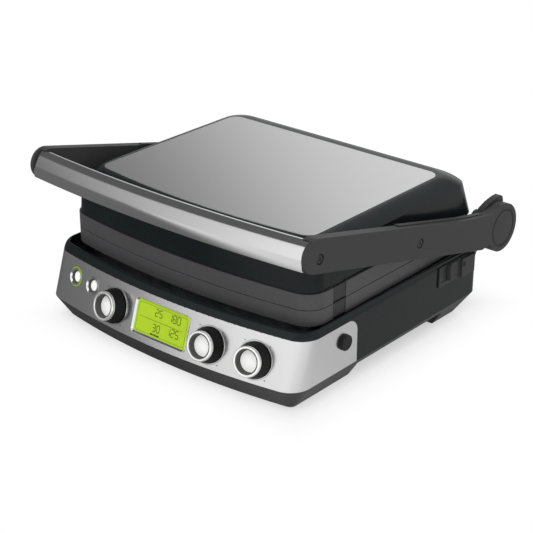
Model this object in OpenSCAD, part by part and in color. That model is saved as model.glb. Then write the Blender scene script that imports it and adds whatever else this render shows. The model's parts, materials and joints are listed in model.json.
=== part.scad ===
// Electric contact grill with a hinged lid, closed, standing on its rubber feet.
// X runs to the right, Y to the back and Z up; the origin is under the middle of the grill.

/* [Base] */
// Width of the base over its sides
body_w = 352.6; // [340:0.2:356]
// Reach of the lower front edge in front of the origin
body_front = 185.6; // [182:0.1:190]
// Reach of the rear wall behind the origin
body_rear = 144.4; // [142:0.1:145]
// Radius of the bow of the front, seen from above
bow_r = 870; // [700:1:2000]
// Corner radius at the front
front_r = 24; // [20:1:28]
// Corner radius at the rear
rear_r = 11; // [9:1:16]
// Angle by which the front leans back
lean = 18.2; // [14:0.1:20]
// Height of the joint between the bottom pan and the housing
pan_top = 26; // [24:1:27]
// Height of the rim round the well
rim_z = 83.4; // [82:0.2:84]
// Width of the rim
rim_w = 5; // [4.5:0.5:6]
// Height of the floor of the well
well_z = 66; // [65:0.5:68]
// Thickness of the floor of the well
floor_t = 3; // [2:0.5:4]
// Wall of the housing, with the fascia on it
housing_wall = 4.2; // [3.6:0.1:4.6]
// Inset of the foot rails at the bottom
pan_inset = 17.3; // [12:0.5:20]
// Wall of the bottom pan
pan_wall = 3; // [2:0.5:4]
// Height of the underside between the foot rails
under_z = 18.5; // [16:0.5:20]
// Rear end of the front foot rail
front_rail_end = -64.5; // [-80:0.5:-60]
// Front end of the rear foot rail
rear_rail_start = 84.5; // [75:0.5:90]
// Thickness of the rubber feet
foot_t = 1.2; // [1:0.1:2]
// Radius of the rubber feet
foot_r = 9; // [6:0.5:11]

/* [Control panel] */
// Thickness of the stainless fascia
fascia_t = 1.2; // [0.8:0.1:1.5]
// Height of the upper edge of the fascia
fascia_top = 75.4; // [74:0.2:77]
// Where the fascia ends on the sides
fascia_end = -73; // [-78:0.5:-68]
// Rounding of the fascia's upper rear corners
fascia_r = 14; // [5:0.5:16]
// Places of the three knobs across the panel
knob_x = [-64, 69.4, 124.8];
// Height of the knobs on the panel
knob_z = 48.6; // [47:0.2:52]
// Radius of the knobs at the panel
knob_r = 18.8; // [15:0.2:19]
// Radius of the chrome caps
cap_r = 15.4; // [13:0.2:16]
// Reach of the knobs in front of the panel
knob_reach = 16.4; // [14:0.2:20]
// Depth of the chrome cap on each knob
cap_t = 3.8; // [3:0.2:6]
// Radius of the knob shafts
shaft_r = 3; // [2.5:0.1:3.5]
// Width of the display
lcd_w = 72.5; // [60:0.5:76]
// Height of the display
lcd_h = 34.6; // [30:0.2:36]
// Place of the display across the panel
lcd_x = 4.5; // [0:0.5:6]
// Height of the middle of the display
lcd_z = 50.6; // [49:0.2:52]
// Width of the frame round the display
lcd_frame = 1.8; // [1:0.1:2.2]
// Place of the power button across the panel
power_x = -134; // [-135:0.2:-130]
// Place of the select button across the panel
select_x = -104; // [-105:0.5:-100]
// Height of the two buttons
button_z = 57; // [54:0.2:58]
// Radius of the two buttons
button_r = 9.2; // [8:0.1:10]
// Travel of the two buttons
button_travel = 1.2; // [0.8:0.1:1.4]
// Width of the light ring round the power button
ring_w = 1.6; // [1:0.1:2]

/* [Plates] */
// Gap between a plate's sides and the rim of the well
plate_side = 2.7; // [2:0.1:4]
// Reach of the plates' front edge in front of the origin
plate_front = 148.9; // [146:0.1:151]
// Reach of the plates' rear edge behind the origin
plate_rear = 132.8; // [130:0.2:135]
// Radius of the bow of the plates' front
plate_bow = 937; // [800:1:2000]
// Corner radius of the plates
plate_r = 24; // [20:1:28]
// Height where the two plates meet
parting_z = 99.1; // [98.6:0.1:100]
// Height of each plate
plate_h = 16.8; // [16:0.2:17.4]
// Gap between the closed plates' rims
plate_gap = 0.6; // [0.4:0.1:1]
// Width of the rim round each cooking face
plate_rim = 8; // [6:0.5:10]
// Depth of the cooking face below the rim
cook_depth = 5.2; // [5:0.1:6]
// Thickness of the cooking floor
cook_t = 5; // [4:0.5:6]
// Height of the searing ridges
ridge_h = 2.5; // [2:0.1:2.7]
// Spacing of the searing ridges
ridge_pitch = 13; // [11:0.5:16]
// Width of the searing ridges
ridge_w = 4.6; // [3:0.2:6]
// Radius of the grease drain
drain_r = 4; // [3:0.5:5]
// Front end of the latch notch in the plates' sides
notch_y = -103.2; // [-106:0.2:-100]
// Length of the latch notch
notch_l = 20; // [16:0.5:22]
// Depth of the latch notch
notch_d = 4; // [3:0.5:5]
// Radius of the heating elements' tube
heater_r = 3.2; // [2.8:0.1:3.6]
// Width of the heating loop
heater_w = 220; // [180:2:240]
// Depth of the heating loop
heater_l = 170; // [140:2:190]

/* [Lid] */
// How far the lid's sides stand inside the plate's sides
lid_step = 2.3; // [1.5:0.1:3]
// Reach of the lid's lower front edge in front of the origin
lid_front = 147.1; // [144:0.1:149]
// Reach of the lid's lower rear edge behind the origin
lid_rear = 150.8; // [146:0.2:152]
// Height of the flat top
lid_top = 165.5; // [163:0.5:167]
// Height of the crease below the shoulder
crease_z = 153.5; // [150:0.5:155]
// Draw-in of the lid's sides up to the crease
side_draft = 1.8; // [1:0.1:3]
// Draw-in of the lid's rear up to the crease
rear_draft = 14; // [10:0.5:16]
// Draw-in of the shoulder at the sides
shoulder_side = 15.8; // [13:0.1:17]
// Draw-in of the shoulder at the front
shoulder_front = 19.4; // [16:0.1:22]
// Draw-in of the shoulder at the rear
shoulder_rear = 22; // [18:0.5:26]
// Corner radius of the lid
lid_r = 22; // [20:1:25]
// Wall of the lid
lid_wall = 3; // [2.5:0.1:3.6]
// Gap between the lid and the upper plate
lid_gap = 0.4; // [0.3:0.1:0.8]
// Margin of the lid's flat top beside the panel
panel_side = 3; // [2:0.1:5]
// Reach of the panel's front edge in front of the origin
panel_front = 122; // [119:0.1:124]
// Reach of the panel's rear edge behind the origin
panel_rear = 106.5; // [103:0.1:110]
// Corner radius of the panel
panel_r = 13; // [9:0.5:16]
// Thickness of the panel
panel_t = 1.2; // [0.8:0.1:1.6]

/* [Arms and handle] */
// Height of the hinge axis
hinge_z = 94.6; // [94:0.1:95.5]
// Distance of the hinge axis behind the origin
hinge_y = 171.4; // [170.6:0.2:173]
// Radius of the arm's hub
hub_r = 27.3; // [26:0.1:27.6]
// Radius of the hinge shafts
hinge_r = 6; // [5:0.5:7]
// How far the arms' inner sides stand inside the sides of the base
arm_in = 0.3; // [0.1:0.1:0.6]
// Thickness of an arm
arm_t = 11.8; // [10:0.1:12]
// Height of an arm's rounded front end
arm_tip = 34.6; // [33:0.2:35]
// Distance of the arm's front end centre in front of the origin
tip_y = 155; // [153:0.2:156.4]
// Height of the arm's front end centre
tip_z = 172.7; // [171.5:0.1:173]
// Slope of the arm's upper edge
top_slope = 14.2; // [13.9:0.1:14.4]
// Slope of the arm's lower edge
bottom_slope = 14.4; // [14:0.1:14.8]
// Radius of the round cap on a hub
hubcap_r = 21.5; // [19:0.5:22.5]
// Wall of an arm outside the end of the bar
bar_seat = 3.8; // [3.4:0.1:5]
// Radius of the bow of the bar, seen from above
bar_bow = 1698; // [1200:2:2600]
// Radius of the bar's face in section
bar_r = 25.2; // [24:0.2:26]
// Distance of the face's centre in front of the origin, at the arms
bar_y = 146; // [145.2:0.1:146.8]
// Height of the face's centre
bar_z = 166.7; // [166.1:0.1:167.1]
// Depth of the bar from the middle of its face to its back
bar_t = 13; // [11:0.5:14]
// Thickness of the bar's stainless skin
skin_t = 1; // [0.8:0.1:1.2]
// Distance of the lid pivots behind the origin
pivot_y = 13.5; // [8:0.5:18]
// Height of the lid pivots
pivot_z = 129; // [127.5:0.5:130]
// Radius of the lid pivot bushes
bush_r = 7; // [6:0.5:8]
// Radius of the arm screws' heads
screw_head_r = 4.6; // [4:0.1:5]

/* [Latches and slider] */
// Radius of the plate release buttons
release_r = 8.3; // [7:0.1:9]
// Travel of the plate release buttons
release_travel = 1.2; // [0.8:0.1:1.3]
// Place of the release buttons along the sides
release_y = -94; // [-97:0.5:-91]
// Height of the lower release button
release_z = 56; // [53:0.5:57]
// Height of the upper release button
upper_release_z = 129.5; // [127.5:0.5:131]
// Front end of the height slider's guide
guide_y = 66.5; // [64:0.5:68]
// Length of the height slider's guide
guide_l = 62; // [58:0.5:64]
// Lower edge of the guide
guide_z = 56; // [54:0.5:58]
// Height of the guide
guide_h = 23; // [20:0.5:24]
// Travel of the height slider
slider_travel = 10; // [6:0.5:12]
// Width of the drip tray
tray_w = 58; // [50:1:60]
// Length of the drip tray
tray_l = 138; // [120:1:140]
// Height of the drip tray
tray_h = 16; // [12:0.5:17]
// Middle of the drip tray along the depth
tray_y = 89.8; // [88:0.2:93]

/* [Fits] */
// Gap between pieces that are seated on each other
seat = 0.1; // [0.05:0.05:0.2]
// Gap round a piece that slides
slide_gap = 0.3; // [0.2:0.05:0.4]
// Radial clearance of a turning fit
run_gap = 0.05; // [0.02:0.01:0.1]
// Gap round the lid and the arms
free_gap = 1.2; // [0.8:0.1:1.5]

/* [Hidden] */
$fn = 64;

// Steps of a corner and of a bowed front in the outlines
corner_steps = 7;
bow_steps = 16;
// Overlap used where one shape is cut out of another
cut = 1;

gloss_black = "#2b3232";
matt_grey = "#4a4a4b";
soft_black = "#1f2021";
steel = "#c3c4c4";
chrome = "#d9dadb";
aluminium = "#b4b6b8";
cast_grey = "#4c4b4d";
board_green = "#2f6b45";

half_w = body_w / 2;
plate_w = body_w - 2 * (rim_w + plate_side);
lid_w = plate_w - 2 * lid_step;
panel_w = lid_w - 2 * (side_draft + shoulder_side + panel_side);
arms_w = body_w - 2 * arm_in + 2 * arm_t;
arm_x1 = arms_w / 2;
bar_half = arm_x1 - bar_seat;
arm_x0 = arm_x1 - arm_t;
lower_bottom = parting_z - plate_gap / 2 - plate_h;
lower_top = parting_z - plate_gap / 2;
upper_bottom = parting_z + plate_gap / 2;
upper_top = upper_bottom + plate_h;
lid_bottom = upper_top + lid_gap;
lower_face = lower_top - cook_depth;
upper_face = upper_bottom + cook_depth;
lower_cavity = lower_face - cook_t;
upper_cavity = upper_face + cook_t;
plate_wall = 5;
front_wall_in = housing_wall;

// Points of an arc
function arc(cx, cy, r, a0, a1, n) =
    [for (i = [0:n]) let (a = a0 + (a1 - a0) * i / n) [cx + r * cos(a), cy + r * sin(a)]];

// Outline with a bowed front, straight sides and rear, and four rounded corners
function bowed(half, front, rear, bow, rf, rr) =
    let (yb = bow - front,
         xc = half - rf,
         yc = yb - sqrt((bow - rf) * (bow - rf) - xc * xc),
         t = atan2(yc - yb, xc))
    concat(
        [for (i = [1:bow_steps - 1])
            let (a = -180 - t + (2 * t + 180) * i / bow_steps) [bow * cos(a), yb + bow * sin(a)]],
        arc(xc, yc, rf, t, 0, corner_steps),
        arc(half - rr, rear - rr, rr, 0, 90, corner_steps),
        arc(rr - half, rear - rr, rr, 90, 180, corner_steps),
        arc(-xc, yc, rf, 180, 180 - t, corner_steps));

// Outline of the base at height z, drawn in by inset
function front_at(z) = body_front - tan(lean) * (z - pan_top);
function body_ring(z, inset) =
    bowed(half_w - inset, front_at(z) - inset, body_rear - inset, bow_r - inset,
          front_r - inset, rear_r - inset);

// Outline of the bottom pan at height z, drawn in by inset
function pan_ring(z, inset) =
    let (d = inset + pan_inset * (pan_top - z) / pan_top)
    bowed(half_w - d, body_front - d, body_rear - d, bow_r - d, max(front_r - d, 4),
          max(rear_r - d, 4));

// Outline of a cooking plate, drawn in by inset
function plate_ring(inset) =
    bowed(plate_w / 2 - inset, plate_front - inset, plate_rear - inset, plate_bow - inset,
          plate_r - inset, plate_r - inset);

// Outline of the lid, where d is 0 at its lower edge and 1 from the crease up,
// and s goes from 0 at the crease to 1 at the flat top
function lid_ring(d, s, inset) =
    bowed(lid_w / 2 - side_draft * d - shoulder_side * s - inset,
          lid_front - side_draft * d - shoulder_front * s - inset,
          lid_rear - rear_draft * d - shoulder_rear * s - inset,
          plate_bow - inset, lid_r - inset, lid_r - inset);

// Outline of the stainless lid panel, drawn in by inset
function panel_ring(inset) =
    bowed(panel_w / 2 - inset, panel_front - inset, panel_rear - inset, plate_bow - inset,
          panel_r - inset, panel_r - inset);

// Solid through rings that have the same number of points
module loft(rings, heights) {
    n = len(rings[0]);
    last = len(rings) - 1;
    points = [for (k = [0:last]) for (p = rings[k]) [p.x, p.y, heights[k]]];
    sides = [for (k = [0:last - 1]) for (i = [0:n - 1]) let (j = (i + 1) % n)
        [k * n + i, (k + 1) * n + i, (k + 1) * n + j, k * n + j]];
    bottom = [for (i = [0:n - 1]) i];
    top = [for (i = [0:n - 1]) last * n + n - 1 - i];
    polyhedron(points = points, faces = concat(sides, [bottom, top]));
}

// Straight prism of an outline between two heights
module slab(outline, z0, z1) {
    translate([0, 0, z0]) linear_extrude(z1 - z0) polygon(outline);
}

// Extrusion along X of a shape drawn as depth and height
module along_x(x0, x1) {
    translate([x0, 0, 0]) rotate([90, 0, 90]) linear_extrude(x1 - x0) children();
}

// Cylinder along X
module rod_x(x0, x1, y, z, r) {
    translate([x0, y, z]) rotate([0, 90, 0]) cylinder(h = x1 - x0, r = r);
}

// Box between two corners
module block(low, high) {
    translate(low) cube(high - low);
}

// Place on the leaning, bowed front: Z points out of the panel and Y up its slope
module on_front(x, z) {
    y = bow_r - front_at(z) - sqrt(bow_r * bow_r - x * x);
    translate([x, y, z]) rotate([0, 0, asin(x / bow_r)]) rotate([90 - lean, 0, 0]) children();
}

// Rounded rectangle about the middle
module rounded(w, h, r) {
    polygon(concat(arc(w / 2 - r, h / 2 - r, r, 0, 90, 5), arc(r - w / 2, h / 2 - r, r, 90, 180, 5),
                   arc(r - w / 2, r - h / 2, r, 180, 270, 5), arc(w / 2 - r, r - h / 2, r, 270, 360, 5)));
}

// Bottom pan and feet

pan_screw_x = half_w - 56.3;
pan_screw_y = [67.6 - body_front, body_rear - 36.4];
pan_screw_at = [[-pan_screw_x, pan_screw_y[0]], [0, pan_screw_y[0]], [pan_screw_x, pan_screw_y[0]],
                [-20, pan_screw_y[1]], [pan_screw_x, pan_screw_y[1]]];
screw_head_z = 20;
post_z = pan_top + 4;
pan_floor = under_z + pan_wall;
rail_y = [tray_y - tray_w / 2 + 6, tray_y + tray_w / 2 - 6];
tray_z = pan_top + 2.8;

module base_pan() color(matt_grey) {
    difference() {
        loft([pan_ring(foot_t, 0), pan_ring(pan_top, 0)], [foot_t, pan_top]);
        difference() {
            loft([pan_ring(foot_t, pan_wall), pan_ring(pan_top, pan_wall)],
                 [foot_t + pan_wall, pan_top + cut]);
            block([-body_w, front_rail_end - pan_wall, 0],
                  [body_w, rear_rail_start + pan_wall, pan_floor]);
        }
        block([-body_w, front_rail_end, -cut], [body_w, rear_rail_start, under_z]);
        for (p = pan_screw_at)
            translate([p.x, p.y, 0]) cylinder(h = pan_top, r = 3.8);
    }
    for (p = pan_screw_at)
        translate([p.x, p.y, foot_t]) difference() {
            cylinder(h = post_z - seat - foot_t, r = 5.6);
            translate([0, 0, -cut]) cylinder(h = screw_head_z - foot_t + cut, r = 3.8);
            cylinder(h = post_z, r = 1.8);
        }
    for (y = rail_y)
        block([-half_w + 20, y - 2, pan_floor - cut], [-half_w + tray_l, y + 2, tray_z - seat]);
    for (x = [30, 110])
        for (y = [10, 70])
            translate([x, y, pan_floor - cut]) cylinder(h = board_z - pan_floor + cut, r = 3);
}

foot_at = [for (x = [-1, 1]) for (y = [47.6 - body_front, body_rear - 32.4]) [x * (half_w - pan_inset - 16), y]];

module rubber_feet() color(soft_black)
    for (p = foot_at)
        translate([p.x, p.y, 0]) cylinder(h = foot_t, r = foot_r);

module pan_screws() color(steel)
    for (p = pan_screw_at)
        translate([p.x, p.y, screw_head_z - seat]) {
            translate([0, 0, -2.2]) cylinder(h = 2.2, r = 3.4);
            translate([0, 0, -1]) cylinder(h = 20, r = 1.6);
        }

// Housing

release_hole = release_r + slide_gap;
post_r = 4;
post_at = [for (x = [-1, 1]) for (y = [-107, 100]) [x * (plate_w / 2 - plate_wall - post_r - 0.6), y]];
drain_at = [60.3 - half_w, tray_y];
catch_slot = 5;

module outer_body() {
    loft([body_ring(pan_top, 0), body_ring(fascia_top, 0), body_ring(rim_z - 3, 0.8),
          body_ring(rim_z - 0.8, 2.2), body_ring(rim_z, rim_w - 1)],
         [pan_top, fascia_top, rim_z - 3, rim_z - 0.8, rim_z]);
}

// Region of the sides that the fascia covers, grown by gap
module fascia_zone(gap) {
    y1 = fascia_end + gap;
    z0 = pan_top + 0.3 - gap;
    z1 = fascia_top + gap;
    r = fascia_r;
    along_x(-body_w, body_w)
        polygon(concat([[-body_w, z0], [y1, z0]], arc(y1 - r, z1 - r, r, 0, 90, 6), [[-body_w, z1]]));
}

module fascia_skin(out, in, gap) {
    difference() {
        intersection() {
            loft([body_ring(pan_top - 3, -out), body_ring(fascia_top + 3, -out)],
                 [pan_top - 3, fascia_top + 3]);
            fascia_zone(gap);
        }
        loft([body_ring(pan_top - 5, in), body_ring(fascia_top + 5, in)],
             [pan_top - 5, fascia_top + 5]);
    }
}

module front_holes(shaft, power, select, w, h) {
    for (x = knob_x)
        on_front(x, knob_z) translate([0, 0, -12]) cylinder(h = 20, r = shaft);
    on_front(power_x, button_z) translate([0, 0, -12]) cylinder(h = 20, r = power);
    on_front(select_x, button_z) translate([0, 0, -12]) cylinder(h = 20, r = select);
    on_front(lcd_x, lcd_z) translate([0, 0, -12]) linear_extrude(20) rounded(w, h, 4);
}

bushing_r = shaft_r + 1.5;

module base_housing() color(gloss_black) {
    difference() {
        outer_body();
        loft([body_ring(pan_top - cut, housing_wall), body_ring(well_z - floor_t, housing_wall)],
             [pan_top - cut, well_z - floor_t]);
        slab(body_ring(rim_z, rim_w), well_z, rim_z + cut);
        fascia_skin(2, fascia_t + seat, 0.2);
        front_holes(bushing_r + seat, button_r + slide_gap, button_r + slide_gap,
                    lcd_w + 1, lcd_h + 1);
        rod_x(half_w - 12, half_w + cut, release_y, release_z, release_hole);
        block([-half_w - cut, tray_y - tray_w / 2 - slide_gap, tray_z - slide_gap],
              [-half_w + 12, tray_y + tray_w / 2 + slide_gap, tray_z + tray_h + slide_gap]);
        translate([drain_at.x, drain_at.y, well_z - floor_t - cut])
            cylinder(h = floor_t + 2 * cut, r = drain_r);
        translate([gland_x, body_rear - 12, gland_z]) rotate([-90, 0, 0]) cylinder(h = 20, r = gland_r);
        block([lower_lever_x - 3, release_y - catch_slot, well_z - floor_t - cut],
              [lower_lever_x + 5, release_y + catch_slot, well_z + cut]);
        for (p = heater_ends)
            translate([p.x, p.y, well_z - floor_t - cut])
                cylinder(h = floor_t + 2 * cut, r = heater_r + slide_gap);
        for (s = [-1, 1])
            for (p = bracket_screw_at)
                translate([s * p.x, body_rear - 3, p.y]) rotate([-90, 0, 0]) cylinder(h = 5, r = 2 + seat);
    }
    translate([lower_lever_x + lever_t / 2, release_y - catch_slot - 0.5, lower_pivot_z])
        rotate([-90, 0, 0]) cylinder(h = 2 * catch_slot + 1, r = pin_r - run_gap);
    for (p = post_at)
        translate([p.x, p.y, well_z - cut]) cylinder(h = lower_cavity - well_z + cut - seat, r = post_r);
    for (p = pan_screw_at)
        translate([p.x, p.y, post_z]) difference() {
            cylinder(h = well_z - floor_t - post_z + cut, r = 4);
            translate([0, 0, -cut]) cylinder(h = 14, r = 1.7);
        }
}

module fascia() color(steel)
    difference() {
        fascia_skin(0, fascia_t, 0);
        front_holes(bushing_r + 1, button_r + slide_gap + ring_w, button_r + slide_gap,
                    lcd_w + 2 * lcd_frame + 2 * seat, lcd_h + 2 * lcd_frame + 2 * seat);
        rod_x(half_w - 12, half_w + cut, release_y, release_z, release_hole);
    }

// Display and controls

module lcd_frame() color(chrome)
    on_front(lcd_x, lcd_z) translate([0, 0, seat - fascia_t]) linear_extrude(fascia_t + 0.2)
        difference() {
            rounded(lcd_w + 2 * lcd_frame, lcd_h + 2 * lcd_frame, 4);
            rounded(lcd_w + 2 * seat, lcd_h + 2 * seat, 3);
        }

module lcd_window() color("#b9dc3c", 0.6)
    on_front(lcd_x, lcd_z) translate([0, 0, -1.7]) linear_extrude(1.1) rounded(lcd_w, lcd_h, 3);

module lcd_module() color("#a9d32e")
    on_front(lcd_x, lcd_z) translate([0, 0, -7]) linear_extrude(5.2)
        rounded(lcd_w - 1, lcd_h - 1, 2.6);

module control_board() color(board_green)
    on_front(lcd_x, lcd_z) translate([-46, -20, -8.7]) cube([98, 35, 1.6]);

module knob_bezels() color(chrome)
    for (x = knob_x)
        on_front(x, knob_z) translate([0, 0, 0.1]) difference() {
            cylinder(h = 0.9, r = knob_r + 1.4);
            translate([0, 0, -cut]) cylinder(h = 4, r = bushing_r + 1.2);
        }

encoder_depth = front_wall_in + 7.4;

module encoders() color("#3a3c3e")
    for (x = knob_x)
        on_front(x, knob_z) difference() {
            union() {
                translate([0, 0, -encoder_depth]) cylinder(h = encoder_depth - 0.3, r = bushing_r);
                translate([-7, -6.5, -encoder_depth]) cube([14, 13, encoder_depth - front_wall_in - seat]);
            }
            translate([0, 0, -encoder_depth + 1]) cylinder(h = encoder_depth + cut, r = shaft_r + run_gap);
        }

knob_foot = 1.5;
cup_depth = cap_t - 0.6;
cap_base = knob_reach - cap_t;

skirt_h = cap_base - knob_foot - seat;
skirt_slope = atan((knob_r - cap_r) / skirt_h);

// Knob with its shaft, its skirt tapered and ribbed
module knob_body(x) color(soft_black)
    on_front(x, knob_z) {
        difference() {
            translate([0, 0, knob_foot]) cylinder(h = skirt_h, r1 = knob_r - 0.4, r2 = cap_r - 0.4);
            for (a = [0:15:345])
                rotate(a) translate([knob_r + 0.3, 0, knob_foot - cut]) rotate([0, -skirt_slope, 0])
                    cylinder(h = skirt_h - 2, r = 0.9);
        }
        translate([0, 0, -encoder_depth + 1.5]) cylinder(h = encoder_depth + knob_foot, r = shaft_r);
    }

// Chrome cap with a cup in its face; a pointed cap has a groove at that angle
module knob_cap(x, pointed = false, turn = 0) color(chrome)
    on_front(x, knob_z) translate([0, 0, cap_base]) difference() {
        rotate_extrude()
            polygon([[0, 0], [cap_r, 0], [cap_r, cap_t - 1.1], [cap_r - 0.4, cap_t - 0.3],
                     [cap_r - 1.2, cap_t], [cap_r - 2.6, cap_t], [cap_r - 2.9, cap_t - 0.8],
                     [cap_r - 3.5, cap_t - 0.8], [cap_r - 3.8, cap_t - 0.3],
                     [cap_r - 6.2, cap_t - cup_depth], [0, cap_t - cup_depth]]);
        if (pointed)
            rotate(turn) translate([-0.6, cap_r - 2.6, cap_t - 0.8]) cube([1.2, 5, 2]);
    }

module mode_knob() knob_body(knob_x[0]);
module mode_knob_cap() knob_cap(knob_x[0], true, 28);
module temperature_knob() knob_body(knob_x[1]);
module temperature_knob_cap() knob_cap(knob_x[1]);
module timer_knob() knob_body(knob_x[2]);
module timer_knob_cap() knob_cap(knob_x[2]);

button_front = 1.2;
stem_end = -front_wall_in - 1.8;

// Push button with a dished face
module push_button(x) color(chrome)
    on_front(x, button_z) {
        rotate_extrude()
            polygon([[0, -3.4], [button_r, -3.4], [button_r, button_front - 0.8], [button_r - 0.4, button_front - 0.2],
                     [button_r - 1, button_front], [button_r - 1.5, button_front - 0.3],
                     [button_r - 3.4, button_front - 3.3], [0, button_front - 3.3]]);
        translate([0, 0, stem_end]) cylinder(h = 3.4 - stem_end - cut - 1, r = 2.6);
    }

module power_button() push_button(power_x);
module select_button() push_button(select_x);

module power_light_ring() color("#a6e22e")
    on_front(power_x, button_z) translate([0, 0, -fascia_t]) difference() {
        cylinder(h = fascia_t + 0.6, r = button_r + slide_gap + ring_w - seat);
        translate([0, 0, -cut]) cylinder(h = 6, r = button_r + slide_gap);
    }

switch_z = stem_end - button_travel - 0.3;

module button_switches() color("#3a3c3e")
    for (x = [power_x, select_x])
        on_front(x, button_z) {
            translate([-13, -5, switch_z - 4]) cube([26, 10, 3]);
            translate([0, 0, switch_z - 2]) cylinder(h = 2, r = 2);
            for (s = [-1, 1])
                translate([s * 11.2, 0, switch_z - 2])
                    cylinder(h = -switch_z + 2 - front_wall_in - seat, r = 1.6);
        }

// Plate latches: a push button whose stem rocks a hooked lever

lower_lever_x = half_w - 18.3;
lower_pivot_z = well_z - floor_t / 2;
upper_pivot_z = lid_bottom + 6.5;
lower_hook_z = lower_bottom + 3.6;
upper_hook_z = upper_top - 3.6;
upper_lever_x = lid_w / 2 - 10.3;
lever_t = 2;
hook_bite = 1;
pin_r = 1.2;

module release_button(side, z, wall_x, lever_x, contact_z) {
    stem_x = lever_x + lever_t + slide_gap;
    mirror([side < 0 ? 1 : 0, 0, 0]) {
        rod_x(wall_x - 5, wall_x + 4, release_y, z, release_r);
        rod_x(stem_x, wall_x - 4, release_y, contact_z, 2);
    }
}

// Hooked lever: z_low and z_high are its ends, and the hook is at hook_z
module catch_lever(side, lever_x, pivot_z, z_low, z_high, hook_z) {
    mirror([side < 0 ? 1 : 0, 0, 0]) difference() {
        union() {
            block([lever_x, release_y - 4, z_low], [lever_x + lever_t, release_y + 4, z_high]);
            block([lever_x - 4, release_y - 4, hook_z - 1], [lever_x + 0.5, release_y + 4, hook_z + 1]);
            translate([lever_x + lever_t / 2, release_y - 4, pivot_z]) rotate([-90, 0, 0])
                cylinder(h = 8, r = 2.4);
        }
        translate([lever_x + lever_t / 2, release_y - 6, pivot_z]) rotate([-90, 0, 0])
            cylinder(h = 12, r = pin_r);
    }
}

module lower_release_button() color(soft_black)
    release_button(1, release_z, half_w, lower_lever_x, release_z - 2);

module lower_catch() color(steel)
    catch_lever(1, lower_lever_x, lower_pivot_z, release_z - 6, lower_hook_z + 1, lower_hook_z);

module upper_release_button() color(soft_black)
    release_button(-1, upper_release_z, lid_w / 2 - 0.5, upper_lever_x, upper_release_z + 1);

module upper_catch() color(steel)
    catch_lever(-1, upper_lever_x, upper_pivot_z, upper_hook_z - 1, upper_release_z + 4,
                upper_hook_z);

// Cooking plates: the upper one is the lower one turned over

ridge_half = plate_w / 2 - plate_rim - 6;
ridge_n = floor(ridge_half / ridge_pitch);
ridge_y0 = -plate_front + plate_rim + 18;
ridge_y1 = plate_rear - plate_rim - 10;

module plate_lug(side, top) {
    x = side > 0 ? lower_lever_x - 4 + hook_bite : -(upper_lever_x - 4 + hook_bite);
    s = side;
    y0 = release_y - 7;
    y1 = release_y + 7;
    foot = plate_h - 3.6 + 1 + seat;
    low = -plate_h + 0.6;
    translate([x, 0, 0]) mirror([s < 0 ? 1 : 0, 0, 0]) {
        block([-6, y0, low], [-4, y1, -cook_depth - cook_t + cut]);
        block([-6, y0, low], [0, y1, -foot]);
    }
}

// Plate with its cooking face up and its rim at height 0
module cooking_plate(side, drain) {
    difference() {
        slab(plate_ring(0), -plate_h, 0);
        slab(plate_ring(plate_rim), -cook_depth, cut);
        slab(plate_ring(plate_wall), -plate_h - cut, -cook_depth - cook_t);
        for (s = [-1, 1])
            translate([s * (plate_w / 2 - notch_d / 2 + cut / 2), notch_y + notch_l / 2, -plate_h / 2])
                cube([notch_d + cut, notch_l, plate_h + 2 * cut], center = true);
        if (drain)
            translate([drain_at.x, drain_at.y, -plate_h - cut]) cylinder(h = plate_h + 2 * cut, r = drain_r);
    }
    for (i = [-ridge_n:ridge_n])
        if (!drain || abs(i * ridge_pitch - drain_at.x) > ridge_w / 2 + drain_r + 1)
            block([i * ridge_pitch - ridge_w / 2, ridge_y0, -cook_depth - cut],
                  [i * ridge_pitch + ridge_w / 2, ridge_y1, -cook_depth + ridge_h]);
    plate_lug(side);
}

module plate_tab_pair(z0, z1)
    for (s = [-1, 1])
        block([s > 0 ? plate_w / 2 - notch_d + seat : -plate_w / 2 + 0.5, notch_y + 0.8, z0],
              [s > 0 ? plate_w / 2 - 0.5 : -plate_w / 2 + notch_d - seat, notch_y + notch_l - seat, z1]);

module lower_plate() color(cast_grey)
    translate([0, 0, lower_top]) cooking_plate(1, true);

module lower_plate_tabs() color(matt_grey)
    plate_tab_pair(lower_bottom + 0.4, lower_top - 0.6);

module upper_plate() color(cast_grey)
    translate([0, 0, upper_bottom]) mirror([0, 0, 1]) cooking_plate(-1, false);

module upper_plate_tabs() color(matt_grey)
    plate_tab_pair(upper_bottom + 0.6, upper_top - 0.4);

// Heating elements, reflectors and thermostats

heater_bend = heater_w / 8;
heater_y = -10;
heater_ends = [[-heater_w / 2, heater_y - heater_l / 2], [heater_w / 2, heater_y + heater_l / 2]];

// Half a torus from one tube to the next, opening towards the front or the rear
module heater_turn(x, y, dir) {
    translate([x, y, 0]) rotate(dir > 0 ? 0 : 180)
        rotate_extrude(angle = 180) translate([heater_bend, 0]) circle(r = heater_r);
}

// Serpentine of five runs, with its two ends turned away from the plate
module heater(leg, turn) {
    for (i = [0:4])
        translate([-heater_w / 2 + i * heater_w / 4, heater_y - heater_l / 2, 0])
            rotate([-90, 0, 0]) cylinder(h = heater_l, r = heater_r);
    for (i = [0:3])
        heater_turn(-heater_w * 3 / 8 + i * heater_w / 4,
                    i % 2 == 0 ? heater_y + heater_l / 2 : heater_y - heater_l / 2,
                    i % 2 == 0 ? 1 : -1);
    for (p = heater_ends) {
        translate([p.x, p.y, 0]) sphere(r = heater_r);
        translate([p.x, p.y, turn > 0 ? 0 : -leg]) cylinder(h = leg, r = heater_r);
    }
}

lower_heater_z = lower_cavity - heater_r - seat;
upper_heater_z = upper_cavity + heater_r + seat;
reflector_t = 1;
reflector_inset = 14;
lower_reflector_z = well_z + seat;
upper_reflector_z = upper_top + 14;
thermostat_at = [heater_w / 8, heater_y + 40];

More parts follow.
